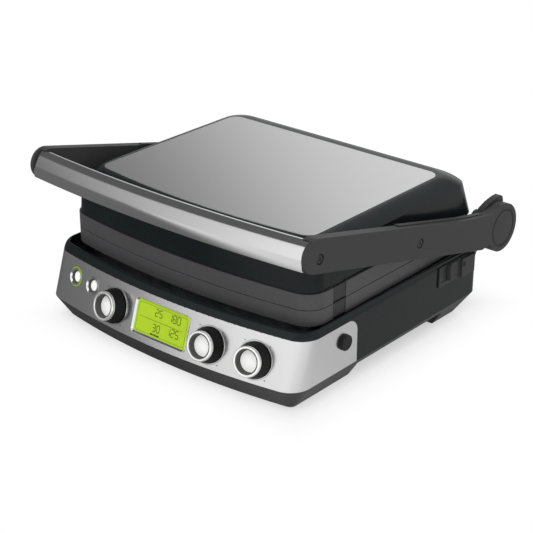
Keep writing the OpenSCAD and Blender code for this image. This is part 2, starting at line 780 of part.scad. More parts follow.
// Open dish of sheet metal with posts that carry the heating element
module reflector(wall_h, post_h) {
    difference() {
        slab(plate_ring(reflector_inset), 0, wall_h);
        slab(plate_ring(reflector_inset + reflector_t), reflector_t, wall_h + cut);
        for (p = concat(heater_ends, [thermostat_at, drain_at]))
            translate([p.x, p.y, -cut]) cylinder(h = 4, r = p == thermostat_at ? 9 : heater_r + 1.2);
        translate([lower_lever_x - 14, release_y - 10, -cut]) cube([40, 20, wall_h + 2 * cut]);
        translate([-lower_lever_x - 26, release_y - 10, -cut]) cube([40, 20, wall_h + 2 * cut]);
    }
    for (x = [-heater_w / 4, heater_w / 4])
        for (y = [-40, 40])
            translate([x, heater_y + y, reflector_t / 2]) cylinder(h = post_h - reflector_t / 2, r = 3);
}

module lower_reflector() color(aluminium)
    translate([0, 0, lower_reflector_z])
        reflector(lower_bottom - lower_reflector_z - 1, lower_heater_z - heater_r - lower_reflector_z - seat);

module upper_reflector() color(aluminium)
    translate([0, 0, upper_reflector_z]) mirror([0, 0, 1])
        reflector(upper_reflector_z - upper_top - 1, upper_reflector_z - upper_heater_z - heater_r - seat);

module lower_element() color("#5b5652")
    translate([0, 0, lower_heater_z]) heater(lower_heater_z - well_z + 8, -1);

module upper_element() color("#5b5652")
    translate([0, 0, upper_heater_z]) heater(upper_reflector_z - upper_heater_z + 4, 1);

module lower_thermostat() color(chrome)
    translate([thermostat_at.x, thermostat_at.y, 0]) {
        translate([0, 0, well_z + seat]) cylinder(h = lower_cavity - well_z - 2 * seat, r = 5);
        translate([0, 0, well_z + seat]) cylinder(h = 3, r = 8);
    }

module upper_thermostat() color(chrome)
    translate([thermostat_at.x, thermostat_at.y, 0]) {
        translate([0, 0, upper_cavity + seat])
            cylinder(h = lid_top - lid_wall - upper_cavity - 2 * seat, r = 5);
        translate([0, 0, lid_top - lid_wall - 4]) cylinder(h = 4 - seat, r = 8);
    }

// Drip tray and electrics

module drip_tray() color(soft_black)
    difference() {
        union() {
            block([-half_w + 0.2, tray_y - tray_w / 2, tray_z],
                  [-half_w + tray_l, tray_y + tray_w / 2, tray_z + tray_h]);
        }
        block([-half_w + 3, tray_y - tray_w / 2 + 2, tray_z + 2],
              [-half_w + tray_l - 2, tray_y + tray_w / 2 - 2, tray_z + tray_h + cut]);
        block([-half_w - cut, tray_y - 16, tray_z + 2], [-half_w + 1.6, tray_y + 16, tray_z + 7]);
    }

board_z = pan_floor + 6;

module power_board() color(board_green) {
    block([22, 2, board_z + seat], [118, 78, board_z + 1.7]);
    block([30, 12, board_z + 1], [58, 42, board_z + 18]);
    block([70, 14, board_z + 1], [88, 34, board_z + 14]);
    block([94, 14, board_z + 1], [112, 34, board_z + 14]);
    translate([74, 58, board_z + 1]) cylinder(h = 20, r = 8);
}

gland_x = tray_l - half_w + 26.3;
gland_z = 42;
gland_r = 7;
cord_r = 3.9;

module terminal_block() color("#d8d6cf")
    block([gland_x - 15, 58, pan_floor + seat], [gland_x + 15, 80, pan_floor + 16]);

module cord_gland() color(soft_black)
    translate([gland_x, body_rear, gland_z]) rotate([-90, 0, 0]) difference() {
        union() {
            translate([0, 0, -9]) cylinder(h = 12, r = gland_r - seat);
            translate([0, 0, seat]) cylinder(h = 5, r = gland_r + 2.5);
            translate([0, 0, -9]) cylinder(h = 9 - housing_wall - seat, r = gland_r + 1.5);
        }
        translate([0, 0, -12]) cylinder(h = 20, r = cord_r);
    }

// Rear hinge

bracket_x1 = arm_x0 - 14;
bracket_x0 = bracket_x1 - 30;
ear_x0 = bracket_x1 - 11;
barrel_r = 11.5;
flange_t = 5;
bracket_screw_at = [for (x = [bracket_x0 + 4.5, bracket_x0 + 14]) for (z = [40, 70]) [x, z]];

module bracket(side)
    mirror([side < 0 ? 1 : 0, 0, 0]) difference() {
        union() {
            rod_x(ear_x0, bracket_x1, hinge_y, hinge_z, barrel_r);
            along_x(ear_x0 + 1, bracket_x1 - 1)
                polygon([[body_rear + seat, 36], [body_rear + flange_t, 36],
                         [hinge_y + barrel_r * 0.8, hinge_z - barrel_r * 0.6], [hinge_y, hinge_z + 4],
                         [hinge_y - barrel_r * 0.6, hinge_z + barrel_r * 0.5], [body_rear + seat, 70]]);
            block([bracket_x0, body_rear + seat, 32], [bracket_x1 - 1, body_rear + flange_t, 76]);
        }
        rod_x(ear_x0 - cut, bracket_x1 + cut, hinge_y, hinge_z, hinge_r + seat / 4);
        for (p = bracket_screw_at)
            translate([p.x, body_rear - cut, p.y]) rotate([-90, 0, 0]) cylinder(h = 20, r = 2.2);
    }

module hinge_bracket_left() color(matt_grey) bracket(-1);
module hinge_bracket_right() color(matt_grey) bracket(1);

module bracket_screws() color(steel)
    for (s = [-1, 1])
        for (p = bracket_screw_at)
            translate([s * p.x, body_rear + flange_t + seat, p.y]) rotate([-90, 0, 0]) {
                cylinder(h = 2.2, r = 3.6);
                translate([0, 0, -flange_t - 2.6]) cylinder(h = flange_t + 3, r = 2);
            }

cap_pocket = 3.2;

module hinge_shafts() color(steel)
    for (s = [-1, 1])
        mirror([s < 0 ? 1 : 0, 0, 0])
            rod_x(ear_x0, arm_x1 - cap_pocket - 0.4, hinge_y, hinge_z, hinge_r);

// Arms

tip_r = arm_tip / 2;
ledge_y0 = -17;
ledge_h = 1.4;
bend_y = 90;
neck_y = 144;
heel_y = 132;

function top_edge(y) = tip_z + tip_r / cos(top_slope) - tan(top_slope) * (y + tip_y);
function bottom_edge(y) = tip_z - tip_r / cos(bottom_slope) - tan(bottom_slope) * (y + tip_y);
neck_z = hinge_z + hub_r - 4;

module arm_outline() {
    polygon(concat(arc(-tip_y, tip_z, tip_r, 90 - top_slope, 270 - bottom_slope, 12),
                   [[heel_y, bottom_edge(heel_y)], [hinge_y, hinge_z - hub_r * 0.4],
                    [hinge_y, hinge_z + hub_r * 0.98], [neck_y, neck_z], [bend_y, top_edge(bend_y)]]));
    translate([hinge_y, hinge_z]) circle(r = hub_r);
}

// Inner flange along the arm's upper edge
module arm_ledge()
    polygon([[ledge_y0, top_edge(ledge_y0) - 6], [bend_y + 30, top_edge(bend_y + 30) - 6],
             [neck_y - 6, neck_z - 4], [neck_y - 6, neck_z + 2], [bend_y, top_edge(bend_y) + ledge_h],
             [ledge_y0, top_edge(ledge_y0) + ledge_h]]);

hub_in = [bracket_x1 + 1, arm_x0];

// side is 1 on the right; inner_x is where the hub starts
module arm(side, inner_x)
    mirror([side < 0 ? 1 : 0, 0, 0]) difference() {
        union() {
            along_x(arm_x0, arm_x1) arm_outline();
            along_x(arm_x0, arm_x0 + 6) arm_ledge();
            rod_x(inner_x, arm_x1 - cut, hinge_y, hinge_z, hub_r - 1);
        }
        rod_x(inner_x - cut, arm_x1 + cut, hinge_y, hinge_z, hinge_r + run_gap);
        rod_x(arm_x1 - cap_pocket, arm_x1 + cut, hinge_y, hinge_z, hubcap_r + seat);
        bar_sweep(bar_half + seat) bar_section(bar_r + seat, 0, 6);
        loft([body_ring(pan_top, -free_gap), body_ring(rim_z, -free_gap)], [pan_top, rim_z + free_gap]);
        for (p = [[-screw_y, screw_z], [pivot_y, pivot_z]]) {
            rod_x(arm_x0 - cut, arm_x1 + cut, p.x, p.y, 3.1);
            rod_x(arm_x1 - 2.6, arm_x1 + cut, p.x, p.y, screw_head_r + 0.8);
        }
    }

module arm_right() color(matt_grey) arm(1, hub_in[1]);
module arm_left() color(matt_grey) arm(-1, hub_in[0]);

module hub_cap(side)
    mirror([side < 0 ? 1 : 0, 0, 0]) {
        rod_x(arm_x1 - cap_pocket + seat, arm_x1 - 0.6, hinge_y, hinge_z, hubcap_r);
        rod_x(arm_x1 - cut, arm_x1 + 0.3, hinge_y, hinge_z, hubcap_r - 1.6);
    }

module hub_cap_right() color(matt_grey) hub_cap(1);
module hub_cap_left() color(matt_grey) hub_cap(-1);

lever_x0 = bracket_x1 + 1.2;
lever_x1 = arm_x0 - 0.8;
lever_r = 16;
tab_x0 = lever_x1 - 7.2;

// Ring round the hinge shaft with a thumb tab above the arm
module release_lever() color(matt_grey)
    difference() {
        union() {
            rod_x(lever_x0, lever_x1, hinge_y, hinge_z, lever_r);
            along_x(tab_x0, lever_x1) translate([hinge_y, hinge_z])
                polygon([[-12, 8], [-25, 20], [-21, 25], [-9, 29], [3, 31], [12, 31.2], [16, 29], [17.8, 23], [12, 8]]);
        }
        rod_x(lever_x0 - cut, lever_x1 + cut, hinge_y, hinge_z, hinge_r + run_gap);
    }

// Handle

bar_low = -13;
bar_high = 58.4;

// Section of the bar: the face is an arc about the origin and the front is -X
function bar_face(r) = [for (i = [0:10]) let (a = bar_low + (bar_high - bar_low) * i / 10)
    [-r * cos(a), r * sin(a)]];

bar_mid = (bar_low + bar_high) / 2;
bar_up = [sin(bar_mid), cos(bar_mid)];
bar_away = [cos(bar_mid), -sin(bar_mid)];

// Corners behind the face, from the top down
bar_back = [-bar_r * [cos(bar_high), -sin(bar_high)] + bar_t / 2 * bar_away,
            (bar_t - bar_r) * bar_away - 5 * bar_up + [0, 10],
            (bar_t - bar_r) * bar_away - 3 * [bar_up.x, bar_up.y * 5 / 3] - [0, 4],
            -bar_r * [cos(bar_low), -sin(bar_low)] + bar_t / 2 * bar_away + [0, 3]];

function toward(p, q, d) = p + d * (q - p) / norm(q - p);

// The same section with its face at radius r; over pushes its back out and ahead its face
module bar_section(r, over = 0, ahead = 0) {
    in = max(bar_r - r, 0);
    up = max(r - bar_r, 0) * bar_up;
    away = (max(r - bar_r, 0) + over) * bar_away;
    polygon(concat([for (p = bar_face(r + ahead / 10)) p - ahead * bar_away],
                   [toward(bar_back[0], bar_back[1], in) + up + away, bar_back[1] + up + away,
                    bar_back[2] - up + away, toward(bar_back[3], bar_back[2], in) - up + away],
                   ahead > 0 ? [bar_face(r)[0]] : []));
}

// Sweep of a section along the bow, between x = -half and x = half
module bar_sweep(half)
    intersection() {
        block([-half, -2 * bar_y, 0], [half, 0, 2 * bar_z]);
        translate([0, bar_centre, bar_z]) rotate(-90 - 8)
            rotate_extrude(angle = 16, $fn = 180) mirror([1, 0]) translate([-bar_bow, 0]) children();
    }

// Centre of the bow, so that the face has its stated place at the arms
bar_centre = -bar_y + sqrt(bar_bow * bar_bow - bar_half * bar_half);

module handle_core() color(matt_grey)
    difference() {
        bar_sweep(bar_half) bar_section(bar_r - skin_t - seat);
        for (s = [-1, 1])
            mirror([s < 0 ? 1 : 0, 0, 0])
                rod_x(bar_half - 22, bar_half + cut, -screw_y, screw_z, 2.5);
    }

module handle_bar() color(steel)
    difference() {
        bar_sweep(bar_half) bar_section(bar_r);
        bar_sweep(bar_half + cut) bar_section(bar_r - skin_t, cut);
    }

screw_y = 148.7;
screw_z = 167.9;

module arm_screw(x_end, y, z)
    difference() {
        union() {
            rod_x(arm_x1 - 2.5, arm_x1 - 0.4, y, z, screw_head_r);
            rod_x(x_end, arm_x1 - 2, y, z, 2.4);
        }
        translate([arm_x1 - 1.6, y, z]) rotate([0, 90, 0]) cylinder(h = 4, r = 2, $fn = 6);
    }

module arm_screws() color(steel)
    for (s = [-1, 1])
        mirror([s < 0 ? 1 : 0, 0, 0]) {
            arm_screw(bar_half - 20, -screw_y, screw_z);
            arm_screw(lid_w / 2 - 10.8, pivot_y, pivot_z);
        }

// Lid

bush_x0 = lid_w / 2 - 10;

module pivot_bushes() color(matt_grey)
    for (s = [-1, 1])
        mirror([s < 0 ? 1 : 0, 0, 0]) difference() {
            rod_x(bush_x0, arm_x0 - seat, pivot_y, pivot_z, bush_r);
            rod_x(bush_x0 - cut, arm_x0 + cut, pivot_y, pivot_z, 2.5);
        }

shoulder = [[0, 0], [0.3, 0.46], [0.62, 0.78], [1, 1]];
shoulder_h = lid_top - crease_z;

module lid_body(inset)
    loft(concat([lid_ring(0, 0, inset)], [for (p = shoulder) lid_ring(1, p[0], inset)]),
         concat([lid_bottom], [for (p = shoulder) crease_z + p[1] * shoulder_h]));

module lid_housing() color(gloss_black) {
    difference() {
        lid_body(0);
        translate([0, 0, -lid_wall]) lid_body(lid_wall);
        slab(panel_ring(-seat), lid_top - panel_t + 0.4, lid_top + cut);
        for (s = [-1, 1])
            mirror([s < 0 ? 1 : 0, 0, 0])
                rod_x(lid_w / 2 - 20, lid_w / 2 + 5, pivot_y, pivot_z, bush_r + seat / 2);
        rod_x(-lid_w / 2 - 5, -lid_w / 2 + 20, release_y, upper_release_z, release_r + slide_gap);
    }
    for (p = post_at)
        translate([p.x, p.y, upper_cavity + seat])
            cylinder(h = crease_z - 3 - upper_cavity, r = post_r);
    mirror([1, 0, 0]) {
        for (y = [release_y - 6.5, release_y + 4.3]) {
            block([upper_lever_x - 1.3, y, lid_bottom + 0.8], [upper_lever_x + 3.3, y + 2.2, upper_pivot_z + 2.5]);
            block([upper_lever_x - 1.3, y, lid_bottom + 0.8], [lid_w / 2 - 1.5, y + 2.2, lid_bottom + 3.6]);
        }
        translate([upper_lever_x + lever_t / 2, release_y - 5, upper_pivot_z])
            rotate([-90, 0, 0]) cylinder(h = 10, r = pin_r - run_gap);
    }
    for (p = heater_ends)
        translate([p.x * 0.6, p.y * 0.6, upper_reflector_z + seat])
            cylinder(h = lid_top - lid_wall - upper_reflector_z + cut / 2, r = 4);
}

module lid_panel() color(steel)
    slab(panel_ring(0), lid_top - panel_t + 0.4 + seat, lid_top + 0.4);

// Height slider on the right side

module height_guide() color(matt_grey)
    difference() {
        union() {
            block([half_w + seat, guide_y, guide_z], [half_w + 2, guide_y + guide_l, guide_z + guide_h]);
            block([half_w + seat, guide_y + 37.5, guide_z],
                  [half_w + 5.5, guide_y + guide_l, guide_z + guide_h - 1]);
        }
        block([half_w + 1, slot_y0, guide_z + 5], [half_w + 3, guide_y + 34, guide_z + guide_h + cut]);
        block([half_w + 4, guide_y + 38.5, guide_z + 13], [half_w + 6, guide_y + 43.5, guide_z + 18]);
    }

slider_y0 = guide_y + 34 - slide_gap - 20;
slot_y0 = slider_y0 - slide_gap - slider_travel;

module height_slider() color(matt_grey)
    difference() {
        union() {
            block([half_w + 1 + slide_gap, slider_y0, guide_z + 5.4],
                  [half_w + 2.6, slider_y0 + 20, guide_z + guide_h - 1]);
            block([half_w + 2, slider_y0, guide_z + 5.4], [half_w + 6.5, slider_y0 + 4, guide_z + guide_h]);
        }
        block([half_w + 5.6, slider_y0 - 1, guide_z + 8], [half_w + 7, slider_y0 + 1, guide_z + 20]);
    }

base_pan();
rubber_feet();
pan_screws();
base_housing();
fascia();
lcd_frame();
lcd_window();
lcd_module();
control_board();
knob_bezels();
encoders();
mode_knob();
mode_knob_cap();
temperature_knob();
temperature_knob_cap();
timer_knob();
timer_knob_cap();
power_button();
power_light_ring();
select_button();
button_switches();
lower_release_button();
lower_catch();
lower_reflector();
lower_element();
lower_thermostat();
lower_plate();
lower_plate_tabs();
drip_tray();
power_board();
terminal_block();
cord_gland();
hinge_bracket_left();
hinge_bracket_right();
bracket_screws();
hinge_shafts();
height_guide();
height_slider();
arm_left();
arm_right();
hub_cap_left();
hub_cap_right();
release_lever();
handle_core();
handle_bar();
arm_screws();
pivot_bushes();
lid_housing();
lid_panel();
upper_reflector();
upper_element();
upper_thermostat();
upper_plate();
upper_plate_tabs();
upper_release_button();
upper_catch();
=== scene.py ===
"""Electric contact grill with a hinged lid, dressed piece by piece round its packed frame."""
import json
from math import asin, atan2, cos, hypot, pi, radians, sin, sqrt, tan

import bmesh
import bpy
from bpy.props import FloatProperty, FloatVectorProperty, IntProperty, PointerProperty
from mathutils import Matrix, Vector


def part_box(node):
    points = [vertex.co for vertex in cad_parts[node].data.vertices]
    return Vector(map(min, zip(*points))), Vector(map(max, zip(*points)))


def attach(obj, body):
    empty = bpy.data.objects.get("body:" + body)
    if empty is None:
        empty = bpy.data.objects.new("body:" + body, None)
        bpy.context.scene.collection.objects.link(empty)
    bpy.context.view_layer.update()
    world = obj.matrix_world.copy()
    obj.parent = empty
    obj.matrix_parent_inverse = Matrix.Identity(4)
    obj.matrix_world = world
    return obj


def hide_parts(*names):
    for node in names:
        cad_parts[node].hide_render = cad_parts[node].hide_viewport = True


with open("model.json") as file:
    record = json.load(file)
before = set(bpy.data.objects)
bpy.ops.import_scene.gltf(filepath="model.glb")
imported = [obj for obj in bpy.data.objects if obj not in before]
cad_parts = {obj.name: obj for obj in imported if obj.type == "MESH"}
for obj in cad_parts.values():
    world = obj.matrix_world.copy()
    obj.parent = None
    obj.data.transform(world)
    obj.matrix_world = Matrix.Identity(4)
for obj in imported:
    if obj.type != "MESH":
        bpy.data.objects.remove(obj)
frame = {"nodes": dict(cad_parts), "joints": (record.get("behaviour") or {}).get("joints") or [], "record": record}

bl_info = {
    "name": "Contact grill",
    "version": (1, 0, 0),
    "blender": (4, 5, 0),
    "location": "3D View > Sidebar > Grill",
    "description": "Builds the pieces and finishes of a contact grill round its frame",
    "category": "Object",
}

MM = 0.001
NODES = frame["nodes"]
BODY_OF = {
    node: body
    for body, nodes in frame["record"]["behaviour"]["bodies"].items()
    for node in nodes
}
SLOT_OF = {row["node"]: row["material_slot"] for row in frame["record"]["subparts"]}
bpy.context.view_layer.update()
HINGE = Vector(next(j for j in frame["joints"] if j["name"] == "lid_hinge")["pos_m"])

# Places taken over from the CAD, measured from the origin
DISPLAY_X = 4.5 * MM
KNOB_X = (-64 * MM, 69.4 * MM, 124.8 * MM)
POWER_X, SELECT_X = -134 * MM, -104 * MM
RELEASE_Y, LOWER_RELEASE_Z, UPPER_RELEASE_Z = -94 * MM, 56 * MM, 129.5 * MM
DRAIN = (-116 * MM, 89.8 * MM)
POST_X, POST_Y, POST_HEIGHT = (-159 * MM, 159 * MM), (-107 * MM, 100 * MM), 22.6 * MM
BAR_SCREW = (-148.7 * MM, 167.9 * MM)
LID_PIVOT = (13.5 * MM, 129 * MM)

# Play round a piece in its opening, and radii of openings
GAP = 0.3 * MM
RELEASE_HOLE = 8.6 * MM
GLAND_HOLE = 7 * MM
DRAIN_HOLE = 4 * MM


# Sizes and colours that a user would change

def length(name, description, mm):
    """A size in the sidebar, shown in the scene's own unit."""
    return FloatProperty(
        name=name, description=description, default=mm * MM, min=0.0, unit="LENGTH", precision=4
    )


def colour(name, description, value):
    """A colour in the sidebar."""
    return FloatVectorProperty(
        name=name, description=description, default=value, size=3, min=0.0, max=1.0, subtype="COLOR"
    )


class GrillBaseSizes(bpy.types.PropertyGroup):
    """Sizes of the base and its control panel"""

    half: length("Half width", "Half the width of the base", 176.3)
    front: length("Front", "Reach of the base in front of the origin at its lower edge", 185.6)
    rear: length("Rear", "Reach of the base behind the origin", 144.4)
    bow: length("Bow", "Radius of the bowed front, seen from above", 870)
    front_corner: length("Front corners", "Radius of the front corners", 24)
    rear_corner: length("Rear corners", "Radius of the rear corners", 11)
    lean: FloatProperty(
        name="Lean", description="Lean of the control panel", default=radians(18.2),
        min=0.0, max=radians(30), subtype="ANGLE",
    )
    low: length("Lower edge", "Height where the housing starts", 26)
    rim: length("Rim", "Height of the rim round the plates", 83.4)
    rim_roll: length("Rim roll", "Width of the rounding of the rim", 4)
    rim_width: length("Rim width", "Width of the rim", 5)
    well: length("Well floor", "Height of the floor under the plates", 66)
    floor: length("Floor", "Thickness of the well's floor", 3)
    wall: length("Wall", "Wall of the housing", 4.2)
    sheet: length("Sheet", "Thickness of the control panel's steel", 1.2)
    sheet_low: length("Sheet lower edge", "Height of the panel's lower edge", 26.3)
    sheet_top: length("Sheet upper edge", "Height of the panel's upper edge", 75.4)
    sheet_end: length("Sheet end", "Where the panel ends on the sides, in front of the origin", 73)
    sheet_corner: length("Sheet corner", "Radius of the panel's upper rear corners", 14)


class GrillControlSizes(bpy.types.PropertyGroup):
    """Sizes of the knobs, buttons and display"""

    knob: length("Knob", "Radius of a knob at the panel", 18.8)
    cap_radius: length("Cap radius", "Radius of a knob's cap", 15.4)
    cup: length("Cup", "Depth of the cup in a knob", 8)
    knob_height: length("Knob height", "Height of the knobs' axes", 48.6)
    knob_reach: length("Knob reach", "How far a knob stands out of the panel", 16.4)
    cap: length("Cap", "Thickness of a knob's cap", 3.8)
    bezel: length("Bezel", "Width of the ring under a knob", 1.4)
    ribs: IntProperty(name="Ribs", description="Number of ribs round a knob", default=30, min=8, max=60)
    button: length("Button", "Radius of a button", 9.2)
    button_height: length("Button height", "Height of the buttons' axes", 57)
    ring: length("Ring", "Width of the lit ring", 1.1)
    display_width: length("Display width", "Width of the display", 72.5)
    display_height: length("Display height", "Height of the display", 34.6)
    display_lip: length("Display lip", "Width of the display's frame", 1.8)
    display_z: length("Display place", "Height of the display's middle", 50.6)
    digit: length("Digit", "Height of the digits on the display", 7.4)
    stroke: length("Stroke", "Thickness of a digit's strokes", 0.85)


class GrillLidSizes(bpy.types.PropertyGroup):
    """Sizes of the lid"""

    half: length("Half width", "Half the width of the lid", 166.3)
    front: length("Front", "Reach of the lid in front of the origin", 147.1)
    rear: length("Rear", "Reach of the lid behind the origin", 150.8)
    bow: length("Bow", "Radius of the bowed front, seen from above", 937)
    corner: length("Corners", "Radius of the corners", 22)
    wall: length("Wall", "Wall of the lid", 3)
    low: length("Lower edge", "Height of the lid's lower edge", 116.6)
    crease: length("Crease", "Height where the shoulder starts", 153.5)
    top: length("Top", "Height of the flat top", 165.5)
    side_draft: length("Side draft", "How far the sides lean in up to the crease", 1.8)
    rear_draft: length("Rear draft", "How far the rear leans in up to the crease", 14)
    shoulder_side: length("Side shoulder", "Draw-in of the shoulder at the sides", 15.8)
    shoulder_front: length("Front shoulder", "Draw-in of the shoulder at the front", 19.4)
    shoulder_rear: length("Rear shoulder", "Draw-in of the shoulder at the rear", 22)
    panel_half: length("Panel half width", "Half the width of the steel panel", 145.7)
    panel_front: length("Panel front", "Reach of the panel in front of the origin", 122)
    panel_rear: length("Panel rear", "Reach of the panel behind the origin", 106.5)
    panel_corner: length("Panel corners", "Radius of the panel's corners", 13)
    panel_sheet: length("Panel sheet", "Thickness of the panel", 1.2)


class GrillHandleSizes(bpy.types.PropertyGroup):
    """Sizes of the arms and the handle bar"""

    bar_half: length("Bar half length", "Half the length of the bar", 184)
    bar_bow: length("Bar bow", "Radius of the bar's bow, seen from above", 1698)
    bar_face: length("Bar face", "Radius of the bar's face in section", 25.2)
    bar_y: length("Bar place", "Place of the face's centre in front of the origin", 146)
    bar_z: length("Bar height", "Height of the face's centre", 166.7)
    skin: length("Skin", "Thickness of the bar's steel", 1)
    lip: length("Lip", "Depth of the bar's folded edges", 3.2)
    arm_chamfer: length("Arm chamfer", "Bevel along the outer edge of an arm", 2.4)
    hub_cap: length("Hub cap", "Radius of the cap on a hub", 21.5)
    screw: length("Screw", "Radius of an arm screw's head", 4.6)
    soft_edge: length("Soft edge", "Rounding of moulded edges", 0.7)
    sheet_edge: length("Sheet edge", "Rounding of sheet metal edges", 0.3)


class GrillColours(bpy.types.PropertyGroup):
    """Colours of the grill and its surroundings"""

    gloss: colour("Gloss shell", "Moulded shell of the base and the lid", (0.009, 0.0125, 0.0125))
    matt: colour("Matt grey", "Arms, hubs and bottom pan", (0.044, 0.044, 0.045))
    black: colour("Black plastic", "Knobs and small mouldings", (0.010, 0.010, 0.0105))
    rubber: colour("Rubber", "Feet", (0.012, 0.012, 0.012))
    steel: colour("Brushed steel", "Control panel, lid panel and bar", (0.60, 0.605, 0.60))
    chrome: colour("Chrome", "Bright trim", (0.82, 0.83, 0.83))
    silver: colour("Silver rings", "Rims of the knob caps", (0.86, 0.86, 0.85))
    # Cup walls are painted dark as painted shade inside the dished caps
    cup_wall: colour("Cup walls", "Walls of the cups in knobs and buttons", (0.085, 0.088, 0.085))
    # Cup floors are painted white and glow a little, as a painted reflection of the bright studio
    cup_floor: colour("Cup floors", "Floors of the cups in knobs and buttons", (0.95, 0.95, 0.93))
    coating: colour("Plate coating", "Cooking plates", (0.068, 0.066, 0.069))
    aluminium: colour("Aluminium", "Reflectors", (0.52, 0.53, 0.54))
    element: colour("Element", "Heating elements", (0.085, 0.075, 0.068))
    fixing: colour("Fixings", "Screws and shafts", (0.42, 0.42, 0.42))
    dark_fixing: colour("Dark screws", "Blackened screws in the arms", (0.045, 0.045, 0.046))
    display: colour("Display", "Lit display", (0.345, 0.505, 0.016))
    segment: colour("Segment", "Dark segments of the display", (0.055, 0.095, 0.012))
    light: colour("Lit ring", "Ring round the power button", (0.27, 0.37, 0.012))
    board: colour("Board", "Circuit boards", (0.02, 0.12, 0.05))
    ceramic: colour("Terminal block", "Moulding of the terminals", (0.55, 0.54, 0.50))
    floor: colour("Floor", "Floor under the grill", (0.97, 0.97, 0.97))


# Making and shaping pieces

def clear():
    """Leave edit mode and select nothing."""
    if bpy.context.object and bpy.context.object.mode != "OBJECT":
        shut()
    bpy.ops.object.select_all(action="DESELECT")


def only(*pieces):
    """Select these pieces alone; the first one is active."""
    clear()
    for piece in pieces:
        piece.select_set(True)
    bpy.context.view_layer.objects.active = pieces[0]


def edit(piece, kind="VERT", whole=False):
    """Go into edit mode on one piece, with nothing or the whole of it selected."""
    only(piece)
    bpy.ops.object.mode_set(mode="EDIT")
    bpy.ops.mesh.select_mode(type=kind)
    bpy.ops.mesh.select_all(action="SELECT" if whole else "DESELECT")


def shut():
    """Leave edit mode."""
    bpy.ops.object.mode_set(mode="OBJECT")


def settle(piece, place=None):
    """Put the piece's place into its mesh, so that its object sits at the origin."""
    only(piece)
    if place is not None:
        piece.matrix_world = place @ piece.matrix_world
    bpy.ops.object.transform_apply(location=True, rotation=True, scale=True)
    return piece


def rename(piece, name):
    """Name a piece and its mesh."""
    piece.name = piece.data.name = name
    return piece


def add(name, primitive, **settings):
    """A primitive at its size and place."""
    clear()
    getattr(bpy.ops.mesh, f"primitive_{primitive}_add")(**settings)
    return settle(rename(bpy.context.object, name))


def drum(name, radius, depth, place=(0, 0, 0), turn=(0, 0, 0), steps=32):
    """A round bar along Z, or along another axis where it is turned."""
    return add(
        name, "cylinder", vertices=steps, radius=radius, depth=depth, location=place, rotation=turn
    )


def rod_x(name, x0, x1, y, z, radius):
    """A round bar along X."""
    return drum(name, radius, abs(x1 - x0), ((x0 + x1) / 2, y, z), (0, pi / 2, 0), 64)


def block(name, low, high):
    """A box between two corners."""
    low, high = Vector(low), Vector(high)
    return add(name, "cube", size=1, location=(low + high) / 2, scale=high - low)


def pick(piece, test, kind="FACE"):
    """Select faces by their middle and normal, edges by their ends, or points as faces."""
    edit(piece, kind)
    form = bmesh.from_edit_mesh(piece.data)
    form.normal_update()
    parts, told_by = {
        "FACE": (form.faces, lambda face: (face.calc_center_median(), face.normal)),
        "EDGE": (form.edges, lambda edge: (edge.verts[0].co, edge.verts[1].co)),
        "VERT": (form.verts, lambda vert: (vert.co, vert.normal)),
    }[kind]
    found = [part for part in parts if test(*told_by(part))]
    if not found:
        raise RuntimeError(f"nothing was picked on {piece.name}")
    for part in found:
        part.select_set(True)
    bmesh.update_edit_mesh(piece.data)


def draw(name, points, close=True):
    """A line through points, drawn by extruding its last point; closed lines get a face."""
    points = [Vector(point) for point in points]
    piece = add(name, "plane", size=0.01, location=points[0])
    edit(piece, whole=True)
    bpy.ops.mesh.merge(type="CENTER")
    for last, point in zip(points, points[1:]):
        bpy.ops.mesh.extrude_vertices_move(TRANSFORM_OT_translate={"value": point - last})
    if close:
        bpy.ops.mesh.select_all(action="SELECT")
        bpy.ops.mesh.edge_face_add()
    return piece


def grow_to(piece, old, new):
    """Extrude the selected outline and lay its points on the next outline."""
    bpy.ops.mesh.extrude_region_move()
    form = bmesh.from_edit_mesh(piece.data)
    old = [Vector(point) for point in old]
    for vert in form.verts:
        if vert.select:
            nearest = min(range(len(old)), key=lambda i: (vert.co - old[i]).length_squared)
            vert.co = new[nearest]
    bmesh.update_edit_mesh(piece.data)


def loft(name, outlines):
    """A closed body through outlines that have the same number of points."""
    piece = draw(name, outlines[0])
    for old, new in zip(outlines, outlines[1:]):
        grow_to(piece, old, new)
    return outward(piece)


def outward(piece):
    """Merge doubles and turn all faces outwards."""
    edit(piece, whole=True)
    bpy.ops.mesh.remove_doubles(threshold=1e-6)
    bpy.ops.mesh.normals_make_consistent(inside=False)
    shut()
    return piece


def turned(name, profile, steps=96):
    """A body turned about Z from a profile of radius and height, from axis to axis."""
    piece = draw(name, [(radius, 0, height) for radius, height in profile], close=False)
    bpy.ops.mesh.select_all(action="SELECT")
    bpy.ops.mesh.spin(steps=steps, angle=2 * pi, center=(0, 0, 0), axis=(0, 0, 1))
    return outward(piece)


def press(piece, kind, **settings):
    """Add a modifier and apply it."""
    only(piece)
    modifier = piece.modifiers.new(kind.title(), kind)
    for setting, value in settings.items():
        setattr(modifier, setting, value)
    bpy.ops.object.modifier_apply(modifier=modifier.name)
    return piece


def soften(piece, width, segments=3, angle=30):
    """Round all edges sharper than an angle, and shade the piece smooth between them."""
    press(
        piece, "BEVEL", width=width, segments=segments, limit_method="ANGLE",
        angle_limit=radians(angle), use_clamp_overlap=True, harden_normals=False,
        miter_outer="MITER_ARC",
    )
    return sleek(piece)


def sleek(piece, angle=32):
    """Smooth shading that keeps sharp edges and flat faces."""
    only(piece)
    bpy.ops.object.shade_smooth_by_angle(angle=radians(angle))
    return press(piece, "WEIGHTED_NORMAL", keep_sharp=True, mode="FACE_AREA", weight=50)


def discard(*pieces):
    """Take working pieces out of the file."""
    for piece in pieces:
        bpy.data.objects.remove(piece)


def cut(piece, *tools):
    """Cut tools out of a piece and discard them."""
    for tool in tools:
        press(piece, "BOOLEAN", operation="DIFFERENCE", solver="EXACT", object=tool)
        discard(tool)
    return piece


